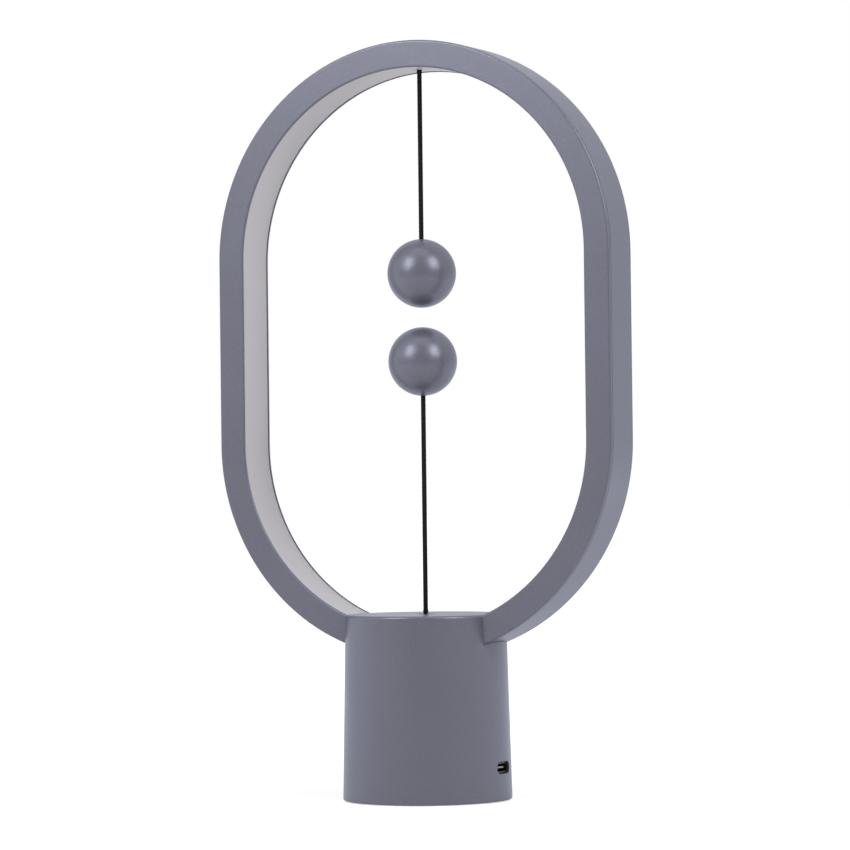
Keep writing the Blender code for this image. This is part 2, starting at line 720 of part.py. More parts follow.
def make_bottom_stack(finishes):
    """Cover, rubber ring, steel weight and circuit board, with the screws that clamp them."""
    edge = base_inner_radius(COVER_TOP_Z) - SEAT_GAP
    groove_outer = PAD_OUTER_RADIUS + SEAT_GAP
    groove_inner = PAD_INNER_RADIUS - SEAT_GAP
    groove_z = COVER_LIFT + PAD_GROOVE_DEPTH
    cover = add_mesh("base_cover", turned([
        (0, COVER_LIFT),
        (groove_inner, COVER_LIFT),
        (groove_inner, groove_z),
        (groove_outer, groove_z),
        (groove_outer, COVER_LIFT),
        (edge, COVER_LIFT),
        (edge, COVER_TOP_Z),
        (0, COVER_TOP_Z),
    ], BASE_SIDES), finishes["moulding"])
    pad_top = groove_z - SEAT_GAP
    pad = add_mesh("foot_ring", turned([
        (PAD_INNER_RADIUS, pad_top - PAD_THICKNESS),
        (PAD_OUTER_RADIUS, pad_top - PAD_THICKNESS),
        (PAD_OUTER_RADIUS, pad_top),
        (PAD_INNER_RADIUS, pad_top),
    ], BASE_SIDES), finishes["rubber"])
    weight_radius = base_inner_radius(WEIGHT_TOP_Z) - WEIGHT_INSET
    disc = rod(weight_radius, WEIGHT_BOTTOM_Z, WEIGHT_TOP_Z, BASE_SIDES)
    weight = add_mesh("base_weight", disc, finishes["steel"])
    board_radius = base_inner_radius(BOARD_TOP_Z) - BOARD_INSET
    disc = rod(board_radius, BOARD_BOTTOM_Z, BOARD_TOP_Z, BASE_SIDES)
    board = add_mesh("circuit_board", disc, finishes["board"])
    for side in (-1, 1):
        place = (side * PEG_OFFSET, 0.0)
        low = BOARD_BOTTOM_Z - CUT_OVERRUN
        hole = rod(PEG_RADIUS + SEAT_GAP, low, BOARD_TOP_Z + CUT_OVERRUN, TINY_SIDES, place)
        combine(board, add_cutter(f"board_peg_hole_{side}", hole))
    screw_top = COVER_TOP_Z + WEIGHT_THICKNESS + BOARD_THICKNESS + COVER_SCREW_GRIP
    for index, (_, place) in enumerate(cover_screw_places(), 1):
        low = COVER_LIFT - CUT_OVERRUN
        hole = rod(SCREW_HOLE_RADIUS, low, BOARD_TOP_Z + CUT_OVERRUN, TINY_SIDES, place)
        through = add_cutter(f"stack_screw_hole_{index}", hole)
        for layer in (cover, weight, board):
            combine(layer, through)
        head_hole = SCREW_HEAD_RADIUS + SEAT_GAP
        hole = rod(head_hole, low, COUNTERBORE_TOP_Z, SMALL_SIDES, place)
        combine(cover, add_cutter(f"cover_counterbore_{index}", hole))
        head_top = COUNTERBORE_TOP_Z - SEAT_GAP
        make_screw(f"cover_screw_{index}", place, head_top, screw_top, finishes["steel"])
    return pad


def make_screw(name, place, head_top, tip, finish):
    """A pan-head screw that points up, with a round socket in its head."""
    head_low = head_top - SCREW_HEAD_HEIGHT
    outline = [
        (0, head_low + SCREW_SOCKET_DEPTH),
        (SCREW_SOCKET_RADIUS, head_low + SCREW_SOCKET_DEPTH),
        (SCREW_SOCKET_RADIUS, head_low),
        (SCREW_HEAD_RADIUS - SCREW_LIP, head_low),
        (SCREW_HEAD_RADIUS, head_low + SCREW_LIP),
        (SCREW_HEAD_RADIUS, head_top),
        (SCREW_RADIUS, head_top),
        (SCREW_RADIUS, tip - SCREW_RADIUS / 2),
        (SCREW_RADIUS / 2, tip),
        (0, tip),
    ]
    return add_mesh(name, turned(outline, TINY_SIDES, place), finish)


def make_ring_screws(finish):
    for side, name in ((-1, "ring_screw_left"), (1, "ring_screw_right")):
        place = (side * RING_SCREW_OFFSET, 0.0)
        make_screw(name, place, shelf_bottom() - SEAT_GAP, ring_screw_top(), finish)


def make_inlet(finishes):
    """The power inlet: a metal shell round an insulator with its contact tongue."""
    turn = Matrix.Rotation(-math.pi / 2, 4, "Z")
    front = base_radius(INLET_MIDDLE_Z) - INLET_SETBACK
    back = front - INLET_LENGTH
    outer = extruded(stadium(INLET_WIDTH, INLET_HEIGHT, INLET_MIDDLE_Z), back, front, turn)
    shell = add_mesh("inlet_shell", outer, finishes["steel"])
    bore_width = INLET_WIDTH - 2 * INLET_WALL
    bore_height = INLET_HEIGHT - 2 * INLET_WALL
    bore = stadium(bore_width, bore_height, INLET_MIDDLE_Z)
    opening = extruded(bore, back - CUT_OVERRUN, front + CUT_OVERRUN, turn)
    combine(shell, add_cutter("inlet_bore", opening))
    block_outline = stadium(bore_width - 2 * SEAT_GAP, bore_height - 2 * SEAT_GAP, INLET_MIDDLE_Z)
    insulator = extruded(block_outline, back, back + INSULATOR_LENGTH, turn)
    tongue = add_mesh("inlet_tongue", insulator, finishes["contact_block"])
    low_z = INLET_MIDDLE_Z - TONGUE_THICKNESS / 2
    low = (back + INSULATOR_LENGTH / 2, -TONGUE_WIDTH / 2, low_z)
    high = (front - TONGUE_SETBACK, TONGUE_WIDTH / 2, low_z + TONGUE_THICKNESS)
    combine(tongue, add_cutter("tongue_blade", block(low, high)), "UNION")


def make_ball(prefix, centre_z, way, finishes):
    """A ball of two shells round a magnet. The cord comes in at the side that way points to.

    The way is 1 where the cord comes in from above and -1 where it comes in from below.
    """

    def at(points):
        return [(radius, centre_z + way * z) for radius, z in points]

    quarter = math.pi / 2
    seam = SEAT_GAP / 2
    outer_seam = math.asin(seam / BALL_RADIUS)
    inner_seam = math.asin(seam / BALL_INNER_RADIUS)
    hole = CORD_RADIUS + CORD_HOLE_MARGIN
    outer_hole = math.acos(hole / BALL_RADIUS)
    inner_hole = math.acos(hole / BALL_INNER_RADIUS)
    cord_half = arc(BALL_RADIUS, outer_seam, outer_hole, BALL_STEPS)
    cord_half += arc(BALL_INNER_RADIUS, inner_hole, inner_seam, BALL_STEPS)
    add_mesh(f"{prefix}_ball_cord_half", turned(at(cord_half), BALL_SIDES), finishes["moulding"])
    lip_outer = BALL_INNER_RADIUS - SEAT_GAP
    lip_inner = lip_outer - BALL_LIP_WALL
    pocket = MAGNET_RADIUS + SEAT_GAP
    floor_z = -(BALL_RADIUS - BALL_FLOOR)
    lip_foot = -math.acos(lip_inner / BALL_INNER_RADIUS)
    pocket_angle = -math.acos(pocket / BALL_INNER_RADIUS)
    magnet_half = [(0, -BALL_RADIUS)]
    magnet_half += arc(BALL_RADIUS, -quarter, -outer_seam, BALL_STEPS)[1:]
    magnet_half += [
        (lip_outer, -seam),
        (lip_outer, BALL_LIP_HEIGHT),
        (lip_inner, BALL_LIP_HEIGHT),
    ]
    magnet_half += arc(BALL_INNER_RADIUS, lip_foot, pocket_angle, BALL_STEPS - 3)
    magnet_half += [(pocket, floor_z), (0, floor_z)]
    name = f"{prefix}_ball_magnet_half"
    add_mesh(name, turned(at(magnet_half), BALL_SIDES), finishes["moulding"])
    low = floor_z + SEAT_GAP
    magnet = rounded([
        (0, low, 0),
        (MAGNET_RADIUS, low, MAGNET_ROUND),
        (MAGNET_RADIUS, low + MAGNET_HEIGHT, MAGNET_ROUND),
        (0, low + MAGNET_HEIGHT, 0),
    ], 1)
    add_mesh(f"{prefix}_magnet", turned(at(magnet), SMALL_SIDES), finishes["steel"])


def cord_with_knot(name, start, end, knot_start, knot_length, finish):
    """A straight cord down or up the middle, from one height to another, with a knot near its end."""
    way = 1 if end > start else -1
    step = 5 * CORD_RADIUS
    count = max(1, math.ceil(abs(knot_start - start) / step))
    heights = [start + (knot_start - start) * index / count for index in range(count + 1)]
    shares = [1.0] * len(heights)
    swell = KNOT_RADIUS / CORD_RADIUS
    for part_share, swell_share in ((0.06, 0.75), (0.3, 1.0), (0.7, 1.0), (0.94, 0.75)):
        heights.append(knot_start + way * knot_length * part_share)
        shares.append(swell * swell_share)
    heights += [knot_start + way * knot_length, end]
    shares += [1.0, 1.0]
    return tube(name, [(0.0, 0.0, z) for z in heights], CORD_RADIUS, finish, shares)


def make_cords(finish):
    """Both cords, each with the bead that it bends on and the knots that hold its ends."""
    upper = pivot_at("upper_pivot", (0.0, 0.0, UPPER_PIVOT_Z))
    lower = pivot_at("lower_pivot", (0.0, 0.0, LOWER_PIVOT_Z))
    reach = BEAD_RADIUS + SEAT_GAP
    # The ring end of the upper cord is knotted over a washer that lies on the diffuser.
    washer_low = DIFFUSER_OUTER_Z + SEAT_GAP
    washer_high = washer_low + HANGER_THICKNESS
    hole = CORD_RADIUS + HANGER_HOLE_MARGIN
    washer = turned([
        (hole, washer_low),
        (HANGER_RADIUS, washer_low),
        (HANGER_RADIUS, washer_high),
        (hole, washer_high),
    ], SMALL_SIDES)
    add_mesh("upper_cord_washer", washer, bpy.data.materials["steel"])
    knot_start = washer_high + SEAT_GAP
    top = knot_start + HANGER_KNOT_LENGTH + SEAT_GAP
    cord_with_knot(
        "upper_cord_anchor", UPPER_PIVOT_Z + reach, top, knot_start, HANGER_KNOT_LENGTH, finish
    )
    for name, pivot in (("upper_cord_bead", upper), ("lower_cord_bead", lower)):
        half = math.pi / 2
        outline = [(0, pivot.location.z - BEAD_RADIUS)]
        outline += arc(BEAD_RADIUS, -half, half, 6, (0.0, pivot.location.z))[1:-1]
        outline += [(0, pivot.location.z + BEAD_RADIUS)]
        hang_on(pivot, add_mesh(name, turned(outline, TINY_SIDES), finish))
    for prefix, pivot, ball_z, way in (
        ("upper", upper, UPPER_BALL_Z, 1),
        ("lower", lower, LOWER_BALL_Z, -1),
    ):
        knot_start = ball_z + way * (BALL_INNER_RADIUS - 2 * SEAT_GAP)
        start = pivot.location.z - way * reach
        end = knot_start - way * (KNOT_LENGTH + CORD_END)
        cord = cord_with_knot(f"{prefix}_cord", start, end, knot_start, KNOT_LENGTH, finish)
        pieces = [cord]
        for part in ("ball_cord_half", "ball_magnet_half", "magnet"):
            pieces.append(bpy.data.objects[f"{prefix}_{part}"])
        hang_on(pivot, *pieces)


def make_switch_frame(finish):
    """Portal that stands on the board and guides the pull stem in its bridge."""
    half = FRAME_HALF_WIDTH
    inner = half - FRAME_WALL
    depth = FRAME_DEPTH / 2
    outer = rounded([
        (-half, FRAME_BOTTOM_Z, 0),
        (half, FRAME_BOTTOM_Z, 0),
        (half, BRIDGE_TOP_Z, FRAME_WALL),
        (-half, BRIDGE_TOP_Z, FRAME_WALL),
    ])
    frame = add_mesh("switch_frame", extruded(outer, -depth, depth), finish)
    window = rounded([
        (-inner, FRAME_FLOOR_Z, FRAME_ROUND),
        (inner, FRAME_FLOOR_Z, FRAME_ROUND),
        (inner, BRIDGE_BOTTOM_Z, FRAME_ROUND),
        (-inner, BRIDGE_BOTTOM_Z, FRAME_ROUND),
    ])
    cutter = extruded(window, -depth - CUT_OVERRUN, depth + CUT_OVERRUN)
    combine(frame, add_cutter("frame_window", cutter))
    guide_low = BRIDGE_BOTTOM_Z - FRAME_GUIDE_DROP
    guide = rod(GUIDE_BORE_RADIUS + FRAME_GUIDE_WALL, guide_low, BRIDGE_TOP_Z - FRAME_BRIDGE / 2)
    combine(frame, add_cutter("frame_guide", guide), "UNION")
    bore = rod(GUIDE_BORE_RADIUS, guide_low - CUT_OVERRUN, BRIDGE_TOP_Z + CUT_OVERRUN)
    combine(frame, add_cutter("frame_guide_bore", bore))
    for side in (-1, 1):
        place = (side * PEG_OFFSET, 0.0)
        low = BOARD_BOTTOM_Z + SEAT_GAP
        peg = rod(PEG_RADIUS, low, FRAME_FLOOR_Z - FRAME_FLOOR / 2, TINY_SIDES, place)
        combine(frame, add_cutter(f"frame_peg_{side}", peg), "UNION")
    return frame


def make_pull(finishes):
    """What the lower cord lifts: the stem with its flange, and the cord's knotted inner end."""
    rail = pivot_at("pull_rail", (0.0, 0.0, FLANGE_TOP_Z))
    bore = CORD_RADIUS + CORD_HOLE_MARGIN
    stem_top = BRIDGE_TOP_Z + STEM_TOP_REACH
    stem = turned([
        (bore, FLANGE_BOTTOM_Z),
        (FLANGE_RADIUS, FLANGE_BOTTOM_Z),
        (FLANGE_RADIUS, FLANGE_TOP_Z),
        (STEM_RADIUS, FLANGE_TOP_Z),
        (STEM_RADIUS, stem_top),
        (bore, stem_top),
    ], SMALL_SIDES)
    stem = add_mesh("pull_stem", stem, finishes["insulator"])
    knot_start = FLANGE_BOTTOM_Z - SEAT_GAP
    end = knot_start - KNOT_LENGTH - CORD_END
    start = LOWER_PIVOT_Z - BEAD_RADIUS - SEAT_GAP
    tail = cord_with_knot("lower_cord_tail", start, end, knot_start, KNOT_LENGTH, finishes["cord"])
    hang_on(rail, stem, tail)


def make_return_spring(finish):
    """Coil spring between the frame's bridge and the flange, round the guide."""
    low = FLANGE_TOP_Z + SEAT_GAP + SPRING_WIRE_RADIUS
    high = BRIDGE_BOTTOM_Z - SEAT_GAP - SPRING_WIRE_RADIUS
    count = SPRING_TURNS * SPRING_POINTS_PER_TURN
    route = []
    for index in range(count + 1):
        angle = 2 * math.pi * index / SPRING_POINTS_PER_TURN
        x = SPRING_RADIUS * math.cos(angle)
        y = SPRING_RADIUS * math.sin(angle)
        route.append((x, y, low + (high - low) * index / count))
    return tube("return_spring", route, SPRING_WIRE_RADIUS, finish, resolution=1)


def make_micro_switch(finishes):
    """Small switch under the bridge, with its pin, its lever on the flange and its button."""
    depth = SWITCH_BODY_DEPTH / 2
    end = LEVER_PIVOT_X + LEVER_BARREL_RADIUS
    corners = []
    for x, z in (
        (SWITCH_BODY_START, SWITCH_BODY_BOTTOM_Z),
        (end, SWITCH_BODY_BOTTOM_Z),
        (end, SWITCH_BODY_TOP_Z),
        (SWITCH_BODY_START, SWITCH_BODY_TOP_Z),
    ):
        corners.append((x, z, SWITCH_BODY_ROUND))
    body = add_mesh("switch_body", extruded(rounded(corners), -depth, depth), finishes["insulator"])
    ear_low = LEVER_PIVOT_Z - LEVER_EAR_DROP
    ear_start = LEVER_PIVOT_X - LEVER_BARREL_RADIUS
    pin_hole = LEVER_PIN_RADIUS + SEAT_GAP
    for side in (-1, 1):
        faces = sorted((side * depth, side * (depth - LEVER_EAR_THICKNESS)))
        high_z = SWITCH_BODY_BOTTOM_Z + LEVER_EAR_THICKNESS
        ear = block((ear_start, faces[0], ear_low), (end, faces[1], high_z))
        combine(body, add_cutter(f"switch_ear_{side}", ear), "UNION")
    steps = TINY_SIDES
    round_outline = arc(pin_hole, 0, 2 * math.pi, steps, (LEVER_PIVOT_X, LEVER_PIVOT_Z))[:-1]
    cross = extruded(round_outline, -depth - CUT_OVERRUN, depth + CUT_OVERRUN)
    combine(body, add_cutter("switch_pin_hole", cross))
    button_top = BUTTON_BOTTOM_Z + BUTTON_LENGTH
    place = (BUTTON_OFFSET, 0.0)
    low = SWITCH_BODY_BOTTOM_Z - CUT_OVERRUN
    socket = rod(BUTTON_RADIUS + SEAT_GAP, low, button_top + BUTTON_HEADROOM, TINY_SIDES, place)
    combine(body, add_cutter("switch_button_hole", socket))

    pin_outline = arc(LEVER_PIN_RADIUS, 0, 2 * math.pi, steps, (LEVER_PIVOT_X, LEVER_PIVOT_Z))[:-1]
    add_mesh("lever_pin", extruded(pin_outline, -depth, depth), finishes["steel"])

    hinge = pivot_at("lever_pivot", (LEVER_PIVOT_X, 0.0, LEVER_PIVOT_Z))
    half = LEVER_WIDTH / 2
    tip = LEVER_PIVOT_X - LEVER_ARM
    low = (tip, -half, LEVER_BOTTOM_Z)
    high = (LEVER_PIVOT_X, half, LEVER_BOTTOM_Z + LEVER_THICKNESS)
    lever = add_mesh("switch_lever", block(low, high), finishes["steel"])
    barrel_ring = arc(LEVER_BARREL_RADIUS, 0, 2 * math.pi, steps, (LEVER_PIVOT_X, LEVER_PIVOT_Z))
    barrel = extruded(barrel_ring[:-1], -half, half)
    barrel_tool = add_cutter("lever_barrel", barrel)
    bore = add_cutter("lever_bore", extruded(round_outline, -half - CUT_OVERRUN, half + CUT_OVERRUN))
    combine(lever, barrel_tool, "UNION")
    combine(lever, bore)
    hang_on(hinge, lever)

    slide = pivot_at("button_rail", (BUTTON_OFFSET, 0.0, BUTTON_BOTTOM_Z))
    button = rod(BUTTON_RADIUS, BUTTON_BOTTOM_Z, button_top, TINY_SIDES, place)
    hang_on(slide, add_mesh("switch_button", button, finishes["cord"]))


def smooth_route(corners, steps):
    """Points on a smooth curve through corners, with a number of steps from each to the next."""
    corners = [Vector(corner) for corner in corners]
    padded = [2 * corners[0] - corners[1], *corners, 2 * corners[-1] - corners[-2]]
    route = []
    for before, start, end, after in zip(padded, padded[1:], padded[2:], padded[3:]):
        for step in range(steps):
            share = step / steps
            bend = (end - before) * share + (2 * before - 5 * start + 4 * end - after) * share**2
            bend += (3 * start - before - 3 * end + after) * share**3
            route.append(start + bend / 2)
    return route + [corners[-1]]


def foot_point(travelled, depth, y):
    """A point at the ring's left foot: so far from its end along the band, so deep, and its y."""
    angle = RING_END_ANGLE + travelled / RING_MIDDLE_RADIUS
    reach = RING_RADIUS - depth
    return (-reach * math.sin(angle), y, RING_LOW_CENTRE_Z - reach * math.cos(angle))


def make_leads(finish):
    """The two leads that feed the light strip, from the board over the ring's left foot."""
    clear = LEAD_RADIUS + SEAT_GAP
    over = RING_FOOT_FILL + clear
    rest = STRIP_FACE_DEPTH + clear
    foot = (RING_FOOT_ANGLE - RING_END_ANGLE) * RING_MIDDLE_RADIUS
    low = BOARD_TOP_Z + SEAT_GAP
    high = BRIDGE_TOP_Z + LEAD_BRIDGE_RISE
    for side, name in ((-1, "strip_lead_front"), (1, "strip_lead_back")):
        apart = side * LEAD_SPACING / 2
        corners = []
        for share in (0.0, 0.33, 0.67, 1.0):
            z = low + (high - low) * share
            corners.append((apart - LEAD_OFFSET, FRAME_DEPTH / 2 + LEAD_FRAME_GAP, z))
        corners.append(foot_point(-2 * clear, over - LEAD_CORNER_DROP, apart))
        corners.append(foot_point(-clear, over - clear / 2, apart))
        for share in (0.0, 0.5, 1.0):
            corners.append(foot_point(share * foot, over, apart))
        for ahead, depth_share in LEAD_TAIL:
            depth = rest + (over - rest) * depth_share
            corners.append(foot_point(foot + ahead, depth, apart))
        tube(name, smooth_route(corners, LEAD_STEPS_PER_SPAN), LEAD_RADIUS, finish, resolution=1)


def build():
    clear_scene()
    finishes = {
        "moulding": material("moulding", (0.168, 0.168, 0.208), 0.5),
        "diffuser": material("diffuser", (0.62, 0.61, 0.62), 0.6),
        "steel": material("steel", (0.56, 0.56, 0.58), 0.35, 1.0),
        "rubber": material("rubber", (0.03, 0.03, 0.03), 0.9),
        "board": material("board", (0.02, 0.12, 0.06), 0.5),
        "strip": material("strip", (0.8, 0.8, 0.78), 0.6),
        "insulator": material("insulator", (0.05, 0.05, 0.05), 0.5),
        "contact_block": material("contact_block", (0.5, 0.44, 0.42), 0.55),
        "cord": material("cord", (0.02, 0.02, 0.021), 0.85),
    }
    make_ring_shell(finishes["moulding"])
    make_ring_cover(finishes["moulding"])
    make_diffuser(finishes["diffuser"])
    make_led_strip(finishes["strip"])
    make_base_shell(finishes["moulding"])
    make_base_cap(finishes["moulding"])
    make_bottom_stack(finishes)
    make_ring_screws(finishes["steel"])
    make_inlet(finishes)
    make_ball("upper", UPPER_BALL_Z, 1, finishes)
    make_ball("lower", LOWER_BALL_Z, -1, finishes)
    make_cords(finishes["cord"])
    make_switch_frame(finishes["insulator"])
    make_pull(finishes)
    make_return_spring(finishes["steel"])
    make_micro_switch(finishes)
    make_leads(finishes["insulator"])


build()
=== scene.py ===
"""Looks of the ring-shaped LED table lamp: finishes, smooth mouldings, braided cords and the stage."""

import math

import bmesh
import bpy
from bpy.props import FloatProperty, FloatVectorProperty, IntProperty, PointerProperty
from mathutils import Matrix, Vector


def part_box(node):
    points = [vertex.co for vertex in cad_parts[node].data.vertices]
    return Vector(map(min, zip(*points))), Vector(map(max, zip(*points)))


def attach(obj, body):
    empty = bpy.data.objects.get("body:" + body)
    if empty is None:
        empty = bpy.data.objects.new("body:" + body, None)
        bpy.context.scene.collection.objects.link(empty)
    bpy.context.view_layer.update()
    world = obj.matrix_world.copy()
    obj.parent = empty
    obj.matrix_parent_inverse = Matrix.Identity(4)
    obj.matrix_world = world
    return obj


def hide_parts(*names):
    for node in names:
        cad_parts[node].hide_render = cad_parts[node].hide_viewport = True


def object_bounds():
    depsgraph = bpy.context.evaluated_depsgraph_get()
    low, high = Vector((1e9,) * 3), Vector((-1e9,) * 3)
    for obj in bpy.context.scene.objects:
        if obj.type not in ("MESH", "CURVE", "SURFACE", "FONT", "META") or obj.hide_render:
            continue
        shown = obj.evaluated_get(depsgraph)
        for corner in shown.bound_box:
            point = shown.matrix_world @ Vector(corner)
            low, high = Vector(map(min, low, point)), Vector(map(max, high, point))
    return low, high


bl_info = {
    "name": "Ring Lamp Looks",
    "version": (1, 0, 0),
    "blender": (4, 5, 0),
    "location": "3D View > Sidebar > Ring Lamp",
    "description": "Dresses the solids of a ring-shaped table lamp and sets it on a pale stage",
    "category": "Object",
}

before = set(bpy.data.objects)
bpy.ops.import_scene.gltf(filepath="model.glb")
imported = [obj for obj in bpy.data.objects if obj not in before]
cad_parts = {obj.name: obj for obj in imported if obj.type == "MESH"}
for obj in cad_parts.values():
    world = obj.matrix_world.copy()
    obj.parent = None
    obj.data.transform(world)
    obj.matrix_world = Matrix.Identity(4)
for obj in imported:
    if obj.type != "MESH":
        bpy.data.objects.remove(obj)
CAD_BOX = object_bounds()

# Places read from the solids
FACE_LOW, FACE_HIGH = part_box("ring_front_cover")
BACK_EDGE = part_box("ring_shell")[1][1]
DIFFUSER_LOW, DIFFUSER_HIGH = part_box("diffuser_strip")
BASE_LOW, BASE_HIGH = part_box("base_shell")
INLET_LOW, INLET_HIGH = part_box("inlet_shell")
TONGUE_LOW, TONGUE_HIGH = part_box("inlet_tongue")
BEAD_BOXES = {"upper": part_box("upper_cord_bead"), "lower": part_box("lower_cord_bead")}
CORD_ENDS = {"upper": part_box("upper_cord")[0][2], "lower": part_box("lower_cord")[1][2]}
BALL_BOXES = {
    side: (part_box(f"{side}_ball_magnet_half"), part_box(f"{side}_ball_cord_half"))
    for side in ("upper", "lower")
}

# Fineness of the meshes
SMOOTH_ANGLE = math.radians(28)
ARC_STEP = math.radians(2)
ROUND_STEPS = 5
HOLE_END_STEPS = 10
CROWN_STEPS = 20
BASE_SIDES = 180
BALL_SIDES = 96
BALL_STEPS = 32
HOLE_SIDES = 48
CORD_SIDES = 28
CORD_RING_STEP = 0.00014
BEAD_SIDES = 32
BEAD_STEPS = 14
FLOOR_SIDES = 96

# Angles, distances and shares
QUARTER = math.pi / 2
GUARD = 0.00006
LID_GUARD = 0.00002
OVERRUN = 0.002
LINER_GAP = 0.00002
CROWN_SHARE = 0.5
INNER_ROUND_SHARE = 0.8
CONTACT_WIDTH_SHARE = 0.55
STRAND_ROUNDNESS = 0.5
STRAND_SINK = 0.4
BEND_SLOPE = 1.4
KNOT_SHARES = ((0.0, 0.0), (0.17, 0.7), (0.39, 1.0), (0.61, 1.0), (0.83, 0.7), (1.0, 0.0))
DIFFUSER_HOLE_GAP = 0.0004
BALL_HOLE_GAP = 0.00015
BALL_LIP_WIDTH = 0.0003
BALL_LIP_ROUND = (0.0001, 0.00012)
BALL_LIP_DEPTH = 0.0004

# Speckle: the fine grain, and the soft clouds over it
GRAIN_DETAIL = 2.0
GRAIN_ROUGHNESS = 0.6
GRAIN_SWING = 3.0
CLOUDS_PER_METRE = 45.0
CLOUD_DETAIL = 3.0
CLOUD_SWING = 0.35
CLOUD_ROUGHNESS = 0.12

# Stage: each light's azimuth from the front and elevation in degrees, width and height
LIGHTS = {
    "key": (-25, 33, 0.35, 0.44),
    "fill": (70, 34, 0.35, 0.44),
    "top": (20, 85, 0.5, 0.5),
    "side": (-75, 15, 0.5, 0.5),
}
WHITE = (1.0, 1.0, 1.0, 1.0)
PAPER = (0.9, 0.9, 0.9, 1.0)
PAPER_ROUGHNESS = 0.9
FLOOR_RADIUS = 14.0
FLOOR_FADE = (0.14, 0.6)
CAMERA_SIDE_SHARES = (-0.1, 0.9)
SENSOR_WIDTH = 36.0
FARTHEST_SEEN = 20.0


# Settings


def number(name, description, default, **kind):
    return FloatProperty(name=name, description=description, default=default, **kind)


def metres(name, description, default):
    return number(name, description, default, unit="LENGTH", precision=6)


def degrees(name, description, default):
    return number(name, description, math.radians(default), subtype="ANGLE")


def watts(name, description, default):
    return number(name, description, default, unit="POWER")


def fraction(name, description, default):
    return number(name, description, default, min=0, max=1)


def tint(name, description, default):
    return FloatVectorProperty(
        name=name, description=description, default=default, subtype="COLOR", min=0, max=1,
    )


